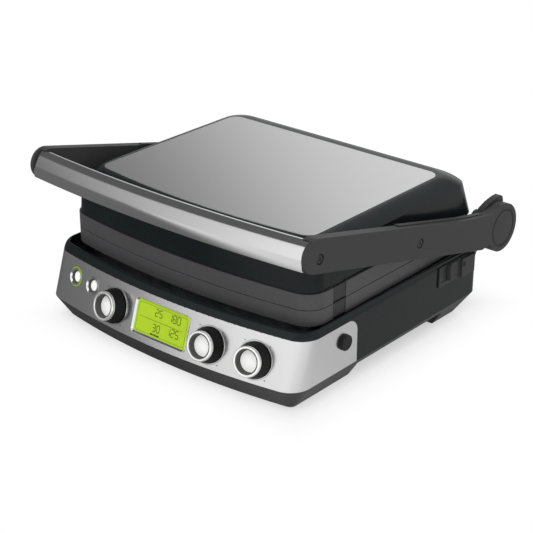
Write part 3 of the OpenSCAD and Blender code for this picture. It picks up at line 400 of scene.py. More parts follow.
def join(*pieces):
    """Make several pieces one, under the first one's name."""
    only(*pieces)
    bpy.ops.object.join()
    return pieces[0]


def copy(piece, name, place):
    """A copy with its own mesh, moved to another place, or mirrored there."""
    twin = piece.copy()
    twin.data = piece.data.copy()
    bpy.context.scene.collection.objects.link(rename(twin, name))
    settle(twin, place)
    if place.determinant() < 0:
        edit(twin, whole=True)
        bpy.ops.mesh.flip_normals()
        shut()
        sleek(twin)
    return twin


def take(name, node):
    """A working copy of a CAD node, with its loose triangles merged into flat faces."""
    piece = bpy.data.objects.new(name, NODES[node].data.copy())
    bpy.context.scene.collection.objects.link(rename(piece, name))
    edit(piece, whole=True)
    bpy.ops.mesh.customdata_custom_splitnormals_clear()
    bpy.ops.mesh.remove_doubles(threshold=2e-6)
    bpy.ops.mesh.dissolve_limited(angle_limit=radians(0.6))
    shut()
    return piece


def wear(piece, finish, node):
    """Give a piece its finish, and let it ride with a CAD node."""
    piece.data.materials.clear()
    piece.data.materials.append(FINISHES[finish])
    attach(piece, BODY_OF[node])


def dress(piece, finish, node):
    """Give a piece its finish, let it ride with a CAD node and stand for it."""
    wear(piece, finish, node)
    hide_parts(node)


def recast(name, node, finish, edge, segments=3, angle=35):
    """Round the edges of a copy of a CAD node, and let it stand for the node."""
    dress(soften(take(name, node), edge, segments, angle), finish, node)


# Outlines

def arc(centre, radius, start, end, steps):
    """Points of an arc in a plane, with angles in radians."""
    return [
        (centre[0] + radius * cos(start + (end - start) * i / steps),
         centre[1] + radius * sin(start + (end - start) * i / steps))
        for i in range(steps + 1)
    ]


def bowed(z, half, front, rear, bow, front_corner, rear_corner, bow_steps=40, corner_steps=12):
    """Outline at height z with a bowed front, straight sides and rear, and round corners."""
    bow_y = bow - front
    corner_x = half - front_corner
    corner_y = bow_y - sqrt((bow - front_corner) ** 2 - corner_x ** 2)
    turn = atan2(corner_y - bow_y, corner_x)
    front_line = arc((0, bow_y), bow, -pi - turn, turn, bow_steps)
    flat = (
        front_line[1:-1]
        + arc((corner_x, corner_y), front_corner, turn, 0, corner_steps)
        + arc((half - rear_corner, rear - rear_corner), rear_corner, 0, pi / 2, corner_steps)
        + arc((rear_corner - half, rear - rear_corner), rear_corner, pi / 2, pi, corner_steps)
        + arc((-corner_x, corner_y), front_corner, pi, pi - turn, corner_steps)
    )
    return [(x, y, z) for x, y in flat]


def base_front(base, z):
    """Reach of the leaning front at height z."""
    return base.front - tan(base.lean) * (z - base.low)


def base_outline(base, z, inset, at=None):
    """Outline of the base at height z, drawn in by inset; at gives another height's front."""
    front = base_front(base, z if at is None else at)
    return bowed(
        z, base.half - inset, front - inset, base.rear - inset, base.bow - inset,
        base.front_corner - inset, base.rear_corner - inset,
    )


def lid_outline(lid, z, draft, share, inset):
    """Outline of the lid; draft goes to 1 at the crease, share from there to 1 at the top."""
    return bowed(
        z,
        lid.half - lid.side_draft * draft - lid.shoulder_side * share - inset,
        lid.front - lid.side_draft * draft - lid.shoulder_front * share - inset,
        lid.rear - lid.rear_draft * draft - lid.shoulder_rear * share - inset,
        lid.bow - inset, lid.corner - inset, lid.corner - inset,
    )


def panel_outline(lid, z, inset):
    """Outline of the lid's steel panel, drawn in by inset."""
    return bowed(
        z, lid.panel_half - inset, lid.panel_front - inset, lid.panel_rear - inset,
        lid.bow - inset, lid.panel_corner - inset, lid.panel_corner - inset,
    )


def rounded(width, height, radius, z, steps=8):
    """Rounded rectangle about the middle, in the XY plane at z."""
    x, y = width / 2 - radius, height / 2 - radius
    flat = (
        arc((x, y), radius, 0, pi / 2, steps) + arc((-x, y), radius, pi / 2, pi, steps)
        + arc((-x, -y), radius, pi, 1.5 * pi, steps) + arc((x, -y), radius, 1.5 * pi, 2 * pi, steps)
    )
    return [(px, py, z) for px, py in flat]


def on_front(base, x, z):
    """Place on the leaning, bowed front: Z points out of the panel and Y up its slope."""
    y = base.bow - base_front(base, z) - sqrt(base.bow ** 2 - x ** 2)
    return (
        Matrix.Translation((x, y, z))
        @ Matrix.Rotation(asin(x / base.bow), 4, "Z")
        @ Matrix.Rotation(pi / 2 - base.lean, 4, "X")
    )


def slab(name, outline, z0, z1):
    """A straight block from an outline in the XY plane."""
    piece = draw(name, [(x, y, z0) for x, y, _ in outline])
    bpy.ops.mesh.extrude_region_move(TRANSFORM_OT_translate={"value": (0, 0, z1 - z0)})
    return outward(piece)


def tile(name, width, height, corner, z0, z1):
    """A straight block with round corners."""
    return slab(name, rounded(width, height, corner, 0), z0, z1)


# Finishes

class Wire:
    """A value on a material's wire; arithmetic on it adds Math nodes."""

    def __init__(self, graph, socket):
        self.graph = graph
        self.socket = socket

    def __add__(self, other):
        return self.graph.math("ADD", self, other)

    def __sub__(self, other):
        return self.graph.math("SUBTRACT", self, other)

    def __rsub__(self, other):
        return self.graph.math("SUBTRACT", other, self)

    def __mul__(self, other):
        return self.graph.math("MULTIPLY", self, other)

    __radd__ = __add__
    __rmul__ = __mul__


class Graph:
    """A node tree that is built from values and wires."""

    def __init__(self, tree):
        self.tree = tree
        tree.nodes.clear()

    def node(self, kind, settings=None, inputs=None, output=0):
        """A node with its settings, and the values or wires of its sockets."""
        node = self.tree.nodes.new(kind)
        for setting, value in (settings or {}).items():
            setattr(node, setting, value)
        for socket, value in (inputs or {}).items():
            self.plug(node.inputs[socket], value)
        return node if output is None else Wire(self, node.outputs[output])

    def plug(self, socket, value):
        """Put a value or a wire on a socket."""
        if isinstance(value, Wire):
            self.tree.links.new(value.socket, socket)
        elif socket.type == "RGBA" and len(value) == 3:
            socket.default_value = (*value, 1)
        else:
            socket.default_value = value

    def math(self, operation, *values):
        """A Math node on one or two values."""
        return self.node("ShaderNodeMath", {"operation": operation}, dict(enumerate(values)))

    def ramp(self, value, low, high):
        """Smooth step of a value from 0 at low to 1 at high."""
        return self.node(
            "ShaderNodeMapRange", {"interpolation_type": "SMOOTHSTEP"},
            {"Value": value, "From Min": low, "From Max": high},
        )

    def clamp(self, value, low, high):
        """A value kept between two limits."""
        return self.node("ShaderNodeClamp", {}, {"Value": value, "Min": low, "Max": high})


class Finish(Graph):
    """One material, built node by node on a Principled shader."""

    def __init__(self, name, **constants):
        self.material = bpy.data.materials.new(name)
        self.material.use_nodes = True
        super().__init__(self.material.node_tree)
        self.shader = self.tree.nodes.new("ShaderNodeBsdfPrincipled")
        self.output = self.tree.nodes.new("ShaderNodeOutputMaterial")
        self.tree.links.new(self.shader.outputs[0], self.output.inputs[0])
        self.place = self.node("ShaderNodeTexCoord", output="Object")
        for socket, value in constants.items():
            self.feed(socket.replace("_", " ").title().replace("Ior", "IOR"), value)

    def feed(self, socket, value):
        """Put a value or a wire on the shader."""
        self.plug(self.shader.inputs[socket], value)

    def noise(self, scale, detail=2.0, stretch=(1, 1, 1), roughness=0.5):
        """Noise from 0 to 1 on the piece's own place; stretch multiplies its axes."""
        place = self.node("ShaderNodeMapping", {}, {"Vector": self.place, "Scale": stretch})
        return self.node(
            "ShaderNodeTexNoise", {},
            {"Vector": place, "Scale": scale, "Detail": detail, "Roughness": roughness},
        )

    def tint(self, mask, first, second):
        """Colour that goes from the first to the second as mask goes from 0 to 1."""
        return self.node(
            "ShaderNodeMix", {"data_type": "RGBA"}, {0: mask, 6: first, 7: second}, output=2
        )

    def bump(self, height, distance, strength=1.0):
        """Bump on the shader's normal."""
        self.feed("Normal", self.node(
            "ShaderNodeBump", {}, {"Height": height, "Distance": distance, "Strength": strength}
        ))


def shade(colour_value, factor):
    """A colour made lighter or darker."""
    return tuple(min(1.0, channel * factor) for channel in colour_value)


def moulded(name, tone, roughness, grain, depth, spread=0.08):
    """Moulded plastic: a spark-eroded grain, slightly uneven in tone and gloss."""
    finish = Finish(name, specular_ior_level=0.15)
    cloud = finish.noise(9, detail=3)
    fine = finish.noise(grain, detail=3, roughness=0.65)
    finish.feed("Base Color", finish.tint(
        cloud * 0.5 + fine * 0.5, shade(tone, 1 - spread), shade(tone, 1 + spread)
    ))
    finish.feed("Roughness", fine * 0.12 + cloud * 0.06 + (roughness - 0.09))
    finish.bump(fine, depth, 0.7)
    return finish.material


def glossed(name, tone):
    """Polished shell: nearly black, with a faint ripple and a trace of dust."""
    finish = Finish(name, specular_ior_level=0.16)
    ripple = finish.noise(55, detail=1)
    dust = finish.ramp(finish.noise(900, detail=2), 0.62, 0.72)
    finish.feed("Base Color", finish.tint(dust, tone, shade(tone, 1.8)))
    finish.feed("Roughness", ripple * 0.05 + dust * 0.10 + 0.13)
    finish.bump(ripple, 0.00002, 0.35)
    return finish.material


def brushed(name, tone, roughness=0.22, streak=0.05):
    """Brushed steel, its grain running along X."""
    finish = Finish(name, metallic=1.0)
    fine = finish.noise(1, detail=2, stretch=(6, 2600, 2600), roughness=0.6)
    wide = finish.noise(1, detail=3, stretch=(1.5, 260, 260))
    mask = fine * 0.65 + wide * 0.35
    finish.feed("Base Color", finish.tint(mask, shade(tone, 1 - streak), shade(tone, 1 + streak)))
    finish.feed("Roughness", mask * 0.10 + (roughness - 0.05))
    finish.bump(fine, 0.000008, 0.4)
    return finish.material


def bright(name, tone, roughness=0.07):
    """Polished or plated metal with hairline marks."""
    finish = Finish(name, metallic=1.0)
    marks = finish.noise(260, detail=3, stretch=(1, 1, 6))
    finish.feed("Base Color", finish.tint(marks, shade(tone, 0.94), tone))
    finish.feed("Roughness", marks * 0.06 + (roughness - 0.03))
    return finish.material


def coated(name, tone):
    """Non-stick coating: a fine speckle in a satin dark grey."""
    finish = Finish(name, specular_ior_level=0.3)
    speckle = finish.ramp(finish.noise(2300, detail=1), 0.60, 0.68)
    cloud = finish.noise(14, detail=3)
    fine = finish.noise(1500, detail=2)
    body = finish.tint(cloud, shade(tone, 0.93), shade(tone, 1.07))
    finish.feed("Base Color", finish.tint(speckle * 0.5, body, shade(tone, 2.4)))
    finish.feed("Roughness", fine * 0.14 + 0.34)
    finish.bump(fine, 0.00004, 0.5)
    return finish.material


def worn_metal(name, tone, roughness, metallic=1.0, scale=60):
    """Bare sheet or rod with mill marks and heat stains."""
    finish = Finish(name, metallic=metallic)
    stain = finish.noise(scale, detail=4, stretch=(1, 2, 1))
    finish.feed("Base Color", finish.tint(
        finish.ramp(stain, 0.3, 0.7), shade(tone, 0.72), shade(tone, 1.18)
    ))
    finish.feed("Roughness", stain * 0.25 + (roughness - 0.12))
    finish.bump(stain, 0.00003, 0.4)
    return finish.material


def backlit(name, tone, strength, scale):
    """Backlit plastic, a little uneven over its width."""
    finish = Finish(name, emission_strength=strength, specular_ior_level=0.2)
    cloud = finish.noise(scale, detail=1)
    fine = finish.noise(1800, detail=1)
    glow = finish.tint(cloud * 0.7 + fine * 0.3, shade(tone, 0.86), shade(tone, 1.1))
    finish.feed("Base Color", glow)
    finish.feed("Emission Color", glow)
    finish.feed("Roughness", fine * 0.08 + 0.22)
    return finish.material


def satin(name, tone, metallic, roughness, specular=0.4, glow=0.0):
    """Silvered or painted plastic with a fine grain."""
    # Glow makes the piece shine by itself; on the cup floors it is part of a painted reflection
    finish = Finish(
        name, metallic=metallic, specular_ior_level=specular,
        emission_color=(1, 1, 1, 1), emission_strength=glow,
    )
    fine = finish.noise(1500, detail=2)
    cloud = finish.noise(90, detail=2)
    finish.feed("Base Color", finish.tint(
        cloud * 0.6 + fine * 0.4, shade(tone, 0.93), shade(tone, 1.05)
    ))
    finish.feed("Roughness", fine * 0.08 + (roughness - 0.04))
    return finish.material


def board_finish(name, tone):
    """Circuit board: solder mask with lighter tracks."""
    finish = Finish(name)
    tracks = finish.node(
        "ShaderNodeTexBrick", {"offset": 0.5},
        {"Vector": finish.place, "Scale": 90.0, "Mortar Size": 0.035, "Color1": tone,
         "Color2": shade(tone, 0.8), "Mortar": shade(tone, 2.2)},
    )
    finish.feed("Base Color", tracks)
    finish.feed("Roughness", finish.noise(400) * 0.2 + 0.35)
    return finish.material


FINISHES = {}


class GRILL_OT_finishes(bpy.types.Operator):
    """Make the finishes and give every frame node the finish of its slot"""

    bl_idname = "grill.finishes"
    bl_label = "Finishes"

    def execute(self, context):
        tones = context.scene.grill_colours
        makers = {
            "gloss_shell": (glossed, tones.gloss),
            "matt_grey": (moulded, tones.matt, 0.52, 1900, 0.00006),
            "black_plastic": (moulded, tones.black, 0.42, 2300, 0.00005, 0.15),
            "rubber": (moulded, tones.rubber, 0.75, 1200, 0.00008, 0.2),
            "steel_panel": (brushed, tones.steel),
            "steel_bar": (brushed, tones.steel, 0.15),
            "chrome_trim": (bright, tones.chrome),
            "silver_ring": (satin, tones.silver, 0.7, 0.16),
            # The cup walls' dark paint is painted shade
            "cup_wall": (satin, tones.cup_wall, 0.0, 0.6, 0.1),
            # The cup floors' white paint and glow are a painted reflection
            "cup_floor": (satin, tones.cup_floor, 0.0, 0.4, 0.2, 0.2),
            "coated_plate": (coated, tones.coating),
            "aluminium_sheet": (worn_metal, tones.aluminium, 0.34),
            "element": (worn_metal, tones.element, 0.55, 0.6, 90),
            "steel_fixing": (worn_metal, tones.fixing, 0.36, 1.0, 300),
            "dark_fixing": (worn_metal, tones.dark_fixing, 0.38, 0.7, 300),
            "display": (backlit, tones.display, 0.32, 24),
            "segment": (moulded, tones.segment, 0.4, 2500, 0.00001),
            "lit_ring": (backlit, tones.light, 0.45, 60),
            "board": (board_finish, tones.board),
            "ceramic": (moulded, tones.ceramic, 0.45, 900, 0.00004),
        }
        for name, (maker, *values) in makers.items():
            FINISHES[name] = maker(name, *values)
        for node, piece in NODES.items():
            piece.data.materials.clear()
            piece.data.materials.append(FINISHES[SLOT_OF[node]])
        NODES["terminal_block"].data.materials[0] = FINISHES["ceramic"]
        return {"FINISHED"}


# Base

def hole_in_front(base, x, z, radius):
    """A round tool through the control panel."""
    return settle(drum("tool", radius, 40 * MM, steps=64), on_front(base, x, z))


def window_in_front(base, controls, over, corner, low, high):
    """A tool through the control panel, wider and higher than the display by over."""
    width, height = controls.display_width + over, controls.display_height + over
    tool = tile("tool", width, height, corner, low, high)
    return settle(tool, on_front(base, DISPLAY_X, controls.display_z))


def release_hole(x0, x1, z):
    """A round tool for a plate release button."""
    return rod_x("tool", x0, x1, RELEASE_Y, z, RELEASE_HOLE)


def panel_sheet(base, name, gap, depth, proud=0.0):
    """The bowed, leaning sheet round both front corners, drawn along its edge and thickened."""
    half, end_y = base.half + proud, -base.sheet_end + gap

    def row(z):
        ring = bowed(
            z, half, base_front(base, z) + proud, base.rear, base.bow + proud,
            base.front_corner + proud, base.rear_corner, 64, 16,
        )
        front = [point for point in ring if point[1] < -base.sheet_end - 10 * MM]
        front.sort(key=lambda point: atan2(point[0], -(point[1] + 60 * MM)))
        return [(-half, end_y, z)] + front + [(half, end_y, z)]

    low, top = row(base.sheet_low - gap), row(base.sheet_top + gap)
    piece = draw(name, low, close=False)
    bpy.ops.mesh.select_all(action="SELECT")
    grow_to(piece, low, top)
    pick(
        piece, lambda place, way: place.z > base.sheet_top - 0.1 * MM
        and place.y > -base.sheet_end - 1 * MM, "VERT",
    )
    bpy.ops.mesh.bevel(offset=base.sheet_corner, segments=10, affect="VERTICES")
    bpy.ops.mesh.select_all(action="SELECT")
    bpy.ops.mesh.normals_make_consistent(inside=False)
    shut()
    foremost = min(piece.data.polygons, key=lambda face: face.center.y)
    inwards = foremost.normal.y > 0
    press(piece, "SOLIDIFY", thickness=depth + proud, offset=1 if inwards else -1)
    return outward(piece)


class GRILL_OT_base_shell(bpy.types.Operator):
    """Glossy housing with its rolled rim, the well under the plates and its openings"""

    bl_idname = "grill.base_shell"
    bl_label = "Base shell"

    def sections(self, base):
        """Outlines up the inside of the wall, over the rolled rim and down into the well."""
        roll, rise, inner = base.rim_roll, base.rim - base.sheet_top, base.rim_width
        foot = 2 * MM
        shell = [
            base_outline(base, base.well - base.floor, base.wall),
            base_outline(base, base.low, base.wall),
            base_outline(base, base.low, 0),
        ]
        for turn in (radians(10 * i) for i in range(9)):
            z = base.sheet_top + rise * sin(turn)
            shell.append(base_outline(base, z, roll * (1 - cos(turn))))
        shell += [
            base_outline(base, base.rim, roll),
            base_outline(base, base.rim - 0.1 * MM, inner - 0.4 * MM, at=base.rim),
            base_outline(base, base.rim - 0.6 * MM, inner, at=base.rim),
        ]
        for turn in (radians(22.5 * i) for i in range(5)):
            z = base.well + foot * (1 - sin(turn))
            shell.append(base_outline(base, z, inner + foot * (1 - cos(turn)), at=base.rim))
        return shell

    def execute(self, context):
        base = context.scene.grill_base
        controls = context.scene.grill_controls
        housing = loft("base_housing_shell", self.sections(base))
        tools = [hole_in_front(base, x, controls.knob_height, 4.6 * MM) for x in KNOB_X]
        for x in (POWER_X, SELECT_X):
            tools.append(hole_in_front(base, x, controls.button_height, controls.button + GAP))
        tools.append(window_in_front(base, controls, 1 * MM, 4 * MM, -14 * MM, 6 * MM))
        tools.append(release_hole(base.half - 12 * MM, base.half + 2 * MM, LOWER_RELEASE_Z))
        low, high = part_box("drip_tray")
        tools.append(block(
            "tool", (low.x - 3 * MM, low.y - GAP, low.z - GAP),
            (low.x + 14 * MM, high.y + GAP, high.z + GAP),
        ))
        low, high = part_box("cord_gland")
        gland = ((low.x + high.x) / 2, base.rear, (low.z + high.z) / 2)
        tools.append(drum("tool", GLAND_HOLE, 20 * MM, gland, (pi / 2, 0, 0), 48))
        tools.append(drum("tool", DRAIN_HOLE, 12 * MM, (*DRAIN, base.well - base.floor / 2)))
        # The panel lies in a shallow step of the shell
        tools.append(panel_sheet(base, "tool", 0.2 * MM, base.sheet + 0.1 * MM, 2 * MM))
        cut(housing, *tools)
        posts = [
            drum("post", 4 * MM, POST_HEIGHT, (x, y, base.well + POST_HEIGHT / 2))
            for x in POST_X for y in POST_Y
        ]
        soften(housing, 0.35 * MM, 2, 35)
        dress(join(housing, *posts), "gloss_shell", "base_housing")
        return {"FINISHED"}


class GRILL_OT_control_panel(bpy.types.Operator):
    """Brushed steel control panel that wraps both front corners"""

    bl_idname = "grill.control_panel"
    bl_label = "Control panel"

    def execute(self, context):
        base = context.scene.grill_base
        controls = context.scene.grill_controls
        panel = panel_sheet(base, "control_panel", 0, base.sheet)
        tools = [hole_in_front(base, x, controls.knob_height, 5.6 * MM) for x in KNOB_X]
        for x, room in ((POWER_X, GAP + controls.ring), (SELECT_X, GAP)):
            tools.append(hole_in_front(base, x, controls.button_height, controls.button + room))
        over = 2 * controls.display_lip + 0.2 * MM
        tools.append(window_in_front(base, controls, over, 4.2 * MM, -20 * MM, 20 * MM))
        tools.append(release_hole(base.half - 12 * MM, base.half + 2 * MM, LOWER_RELEASE_Z))
        cut(panel, *tools)
        soften(panel, context.scene.grill_handle.sheet_edge, 2, 40)
        dress(panel, "steel_panel", "fascia")
        return {"FINISHED"}


class GRILL_OT_bottom_pan(bpy.types.Operator):
    """Matt bottom pan with its two foot rails"""

    bl_idname = "grill.bottom_pan"
    bl_label = "Bottom pan"

    def execute(self, context):
        recast("bottom_pan", "base_pan", "matt_grey", 0.5 * MM, 2, 30)
        return {"FINISHED"}


# Display and controls

DIGIT_BARS = {
    "0": "abcdef", "1": "bc", "2": "abdeg", "3": "abcdg", "4": "bcfg",
    "5": "acdfg", "6": "acdefg", "7": "abc", "8": "abcdefg", "9": "abcdfg",
}
MARK_LOW, MARK_HIGH = -1.86 * MM, -1.8 * MM


class GRILL_OT_display(bpy.types.Operator):
    """Recessed display with its frame and digits"""

    bl_idname = "grill.display"
    bl_label = "Display"

    def bar(self, size, stroke, x, y, upright):
        """One stroke of a digit, with pointed ends."""
        a, b = size / 2 - stroke * 0.15, stroke / 2
        line = [(-a, 0), (-a + b, b), (a - b, b), (a, 0), (a - b, -b), (-a + b, -b)]
        line = [(-py, px) if upright else (px, py) for px, py in line]
        return slab("stroke", [(px + x, py + y, 0) for px, py in line], MARK_LOW, MARK_HIGH)

    def number(self, text, x, y, height, stroke):
        """A number in seven-bar digits, its left edge at x and its foot at y."""
        width = height * 0.52
        bars = []
        for k, sign in enumerate(text):
            left = x + k * (width + 2.1 * stroke)
            middle, right = left + width / 2, left + width
            places = {
                "a": (middle, y + height), "g": (middle, y + height / 2), "d": (middle, y),
                "b": (right, y + height * 0.75), "c": (right, y + height * 0.25),
                "e": (left, y + height * 0.25), "f": (left, y + height * 0.75),
            }
            for letter in DIGIT_BARS[sign]:
                upright = letter in "bcef"
                size = height / 2 if upright else width
                bars.append(self.bar(size, stroke, *places[letter], upright))
        return bars

    def marks(self, controls):
        """The digits, the rule between their rows, three ticks and the rim, as one piece."""
        size, stroke = controls.digit, controls.stroke
        marks = []
        for text, x, y, scale in (
            ("25", -10.3, 5.6, 1), ("180", 8.6, 5.8, 1.06),
            ("30", -10.5, -10.4, 1), ("125", 9.0, -8.8, 1.06),
        ):
            marks += self.number(text, x * MM, y * MM, size * scale, stroke)
        rows = [("rule", -30.5, 0.3, 29, 0.7)]
        for x in (-12.5, -8.2, -3.9):
            rows.append(("tick", x, -14.6, x + 3.7, -13.1))
        for name, x0, y0, x1, y1 in rows:
            low, high = (x0 * MM, y0 * MM, MARK_LOW), (x1 * MM, y1 * MM, MARK_HIGH)
            marks.append(block(name, low, high))
        width, height = controls.display_width, controls.display_height
        rim = tile("rim", width - 4.4 * MM, height - 4.4 * MM, 2 * MM, MARK_LOW, MARK_HIGH)
        marks.append(cut(rim, tile(
            "tool", width - 5 * MM, height - 5 * MM, 1.7 * MM, MARK_LOW - 1 * MM, MARK_HIGH + 1 * MM
        )))
        return rename(join(*marks), "display_digits")

    def execute(self, context):
        controls = context.scene.grill_controls
        place = on_front(context.scene.grill_base, DISPLAY_X, controls.display_z)
        width, height, lip = controls.display_width, controls.display_height, controls.display_lip
        deep = 2.0 * MM
        over = 2 * lip
        frame_piece = tile(
            "display_frame", width + over, height + over, 4 * MM, -deep - 0.1 * MM, 0.15 * MM
        )
        inside = (width - 0.4 * MM, height - 0.4 * MM, 3 * MM)
        outside = (width + over - 0.9 * MM, height + over - 0.9 * MM, 3.6 * MM)
        cut(frame_piece, loft("tool", [
            rounded(*inside, -deep - 1 * MM), rounded(*inside, -deep + 0.3 * MM),
            rounded(*outside, 0.16 * MM), rounded(*outside, 1 * MM),
        ]))
        soften(settle(frame_piece, place), 0.15 * MM, 2, 40)
        dress(frame_piece, "chrome_trim", "lcd_frame")

        glass = tile(
            "display_glass", width - 0.6 * MM, height - 0.6 * MM, 3 * MM,
            -deep - 0.6 * MM, -deep + 0.2 * MM,
        )
        pick(glass, lambda middle, way: way.z > 0.9)
        bpy.ops.mesh.inset(thickness=0.7 * MM, depth=0.0)
        bpy.ops.mesh.inset(thickness=0.15 * MM, depth=-0.08 * MM)
        shut()
        soften(settle(glass, place), 0.12 * MM, 2, 40)
        dress(glass, "display", "lcd_window")
        back = tile(
            "display_back", width - 1 * MM, height - 1 * MM, 2.6 * MM, -7 * MM, -deep - 0.7 * MM
        )
        soften(settle(back, place), 0.3 * MM, 2, 40)
        dress(back, "display", "lcd_module")
        wear(sleek(settle(self.marks(controls), place)), "segment", "lcd_window")
        return {"FINISHED"}


# How far the marks round a knob are from its axis
DOT_REACH = 22.4 * MM


def flat_disc(floor, radius, thickness):
    """The floor disc of a cup, which carries the painted reflection, its edge drawn in at the top."""
    low, high, inner = floor + 0.02 * MM, floor + thickness, radius - 0.1 * MM
    return turned("disc", [(0, low), (radius, low), (inner, high), (0, high)])


class GRILL_OT_knobs(bpy.types.Operator):
    """Three ribbed knobs with dished chrome caps, and the rings under them"""

    bl_idname = "grill.knobs"
    bl_label = "Knobs"

    def skirt(self, controls, cap_base, lip, cup_foot):
        """The ribbed skirt on its shaft, bored out for the cup."""
        foot, gap = 1.5 * MM, 0.1 * MM
        skirt = add(
            "skirt", "cone", vertices=6 * controls.ribs, radius1=controls.knob - gap,
            radius2=controls.cap_radius + 0.35 * MM, depth=cap_base - foot - gap,
            location=(0, 0, (cap_base + foot - gap) / 2),
        )
        step = 2 * pi / controls.ribs
        pick(skirt, lambda middle, way: (
            abs(way.z) < 0.5 and (atan2(middle.y, middle.x) / step) % 1 < 0.34
        ))
        bpy.ops.mesh.inset(thickness=0.22 * MM, depth=-0.35 * MM)
        shut()
        shaft = drum("shaft", 3 * MM, 12 * MM, (0, 0, -4.5 * MM))
        soften(skirt, 0.2 * MM, 2, 35)
        cut(skirt, drum("tool", lip + gap, 30 * MM, (0, 0, cup_foot + 15 * MM), steps=96))
        return join(skirt, shaft)

    def execute(self, context):
        base = context.scene.grill_base
        controls = context.scene.grill_controls
        radius = controls.cap_radius
        cap_base = controls.knob_reach - controls.cap
        top = cap_base + controls.cap
        lip = radius - 3.2 * MM
        floor = top - controls.cup
        foot = floor - 0.4 * MM
        skirt = self.skirt(controls, cap_base, lip, foot)

        # The cup goes deeper than the cap: its wall is painted dark as painted shade, and its floor is a white,
        # glowing disc as a painted reflection
        cup = turned("cup", (
            [(0, foot), (lip, foot), (lip, top - 0.9 * MM)]
            + arc((lip - 0.3 * MM, top - 0.9 * MM), 0.3 * MM, 0, pi, 6)
            + arc((lip - 1.0 * MM, floor + 0.4 * MM), 0.4 * MM, 0, -pi / 2, 5)
            + [(0, floor)]
        ))
        disc = flat_disc(floor, lip - 1.1 * MM, 0.2 * MM)
        bore = lip + 0.1 * MM
        cap = turned("cap", (
            [(bore, cap_base), (radius - 0.3 * MM, cap_base), (radius, cap_base + 0.3 * MM)]
            + arc((radius - 1.2 * MM, top - 1.2 * MM), 1.2 * MM, 0, pi / 2, 7)
            + arc((lip + 1.3 * MM, top - 0.9 * MM), 0.9 * MM, pi / 2, pi, 6)
            + [(bore, top - 1.3 * MM), (bore, cap_base)]
        ))
        pointed = copy(cap, "pointed", Matrix())
        pointer = block(
            "tool", (-0.6 * MM, radius - 2.6 * MM, top - 0.8 * MM),
            (0.6 * MM, radius + 1 * MM, top + 1 * MM),
        )
        cut(pointed, settle(pointer, Matrix.Rotation(radians(28), 4, "Z")))
        hole, outer = 5.8 * MM, controls.knob + controls.bezel
        ring = turned("ring", [(hole, 0.1 * MM)] + [
            (outer - step * MM, z * MM) for step, z in (
                (0, 0.1), (0, 0.6), (0.25, 0.85), (0.65, 0.85), (0.8, 0.2), (1.1, 0.2), (1.2, 0.35),
            )
        ] + [(hole, 0.35 * MM), (hole, 0.1 * MM)])
        for piece in (cap, pointed, cup, disc, ring):
            sleek(piece, 30)

        rings, dots = [], []
        for knob, x in zip(("mode", "temperature", "timer"), KNOB_X):
            place = on_front(base, x, controls.knob_height)
            face = pointed if knob == "mode" else cap
            dress(copy(skirt, f"{knob}_skirt", place), "black_plastic", f"{knob}_knob")
            dress(copy(face, f"{knob}_cap", place), "silver_ring", f"{knob}_knob_cap")
            wear(copy(cup, f"{knob}_cup", place), "cup_wall", f"{knob}_knob")
            wear(copy(disc, f"{knob}_disc", place), "cup_floor", f"{knob}_knob")
            rings.append(copy(ring, "bezel_rings", place))
            for turn in (radians(50), radians(130), radians(-50)):
                spot = (DOT_REACH * cos(turn), DOT_REACH * sin(turn), 0.02 * MM)
                dots.append(settle(drum("dots", 0.55 * MM, 0.3 * MM, spot, steps=20), place))
        dress(join(*rings), "steel_panel", "knob_bezels")
        wear(rename(join(*dots), "knob_marks"), "black_plastic", "fascia")
        discard(skirt, cap, pointed, ring, cup, disc)
        return {"FINISHED"}


class GRILL_OT_buttons(bpy.types.Operator):
    """Two dished chrome buttons and the lit ring round the first"""

    bl_idname = "grill.buttons"
    bl_label = "Buttons"

    def execute(self, context):
        base = context.scene.grill_base
        controls = context.scene.grill_controls
        radius = controls.button
        top = 1.2 * MM
        floor = top - 4.1 * MM
        lip = radius - 2.1 * MM
        stem, foot, flange = 2.6 * MM, -6 * MM, -3.4 * MM
        button = turned("button", (
            [(0, foot), (stem, foot), (stem, flange), (radius, flange)]
            + arc((radius - 0.35 * MM, top - 0.35 * MM), 0.35 * MM, 0, pi / 2, 5)
            + [(radius - 0.5 * MM, top - 0.05 * MM), (radius - 1.2 * MM, top - 0.5 * MM),
               (lip, top - 1.4 * MM), (lip, floor - 0.1 * MM), (0, floor - 0.1 * MM)]
        ))
        # The cup's wall is painted dark as painted shade, and its floor disc is white and glowing as a painted
        # reflection
        wall, under = lip - 0.05 * MM, floor - 0.05 * MM
        cup = turned("cup", (
            [(0, under), (wall, under), (wall, top - 1.5 * MM), (lip - 0.4 * MM, top - 1.5 * MM)]
            + arc((lip - 1.4 * MM, floor + 1.0 * MM), 1.0 * MM, 0, -pi / 2, 5)
            + [(0, floor)]
        ))
        disc = flat_disc(floor, lip - 1.3 * MM, 0.15 * MM)
        inner = radius + GAP
        outer = inner + controls.ring - 0.1 * MM
        glow = turned("glow", [
            (inner, -1.2 * MM), (outer, -1.2 * MM), (outer, -0.2 * MM), (outer - 0.2 * MM, 0),
            (inner + 0.2 * MM, 0), (inner, -0.2 * MM), (inner, -1.2 * MM),
        ])
        for piece in (button, cup, disc, glow):
            sleek(piece, 30)
        for name, x in (("power", POWER_X), ("select", SELECT_X)):
            place = on_front(base, x, controls.button_height)
            dress(copy(button, f"{name}_button_cap", place), "chrome_trim", f"{name}_button")
            wear(copy(cup, f"{name}_button_cup", place), "cup_wall", f"{name}_button")
            wear(copy(disc, f"{name}_button_disc", place), "cup_floor", f"{name}_button")
        place = on_front(base, POWER_X, controls.button_height)
        dress(copy(glow, "power_ring", place), "lit_ring", "power_light_ring")
        discard(button, cup, disc, glow)
        return {"FINISHED"}


# Plates

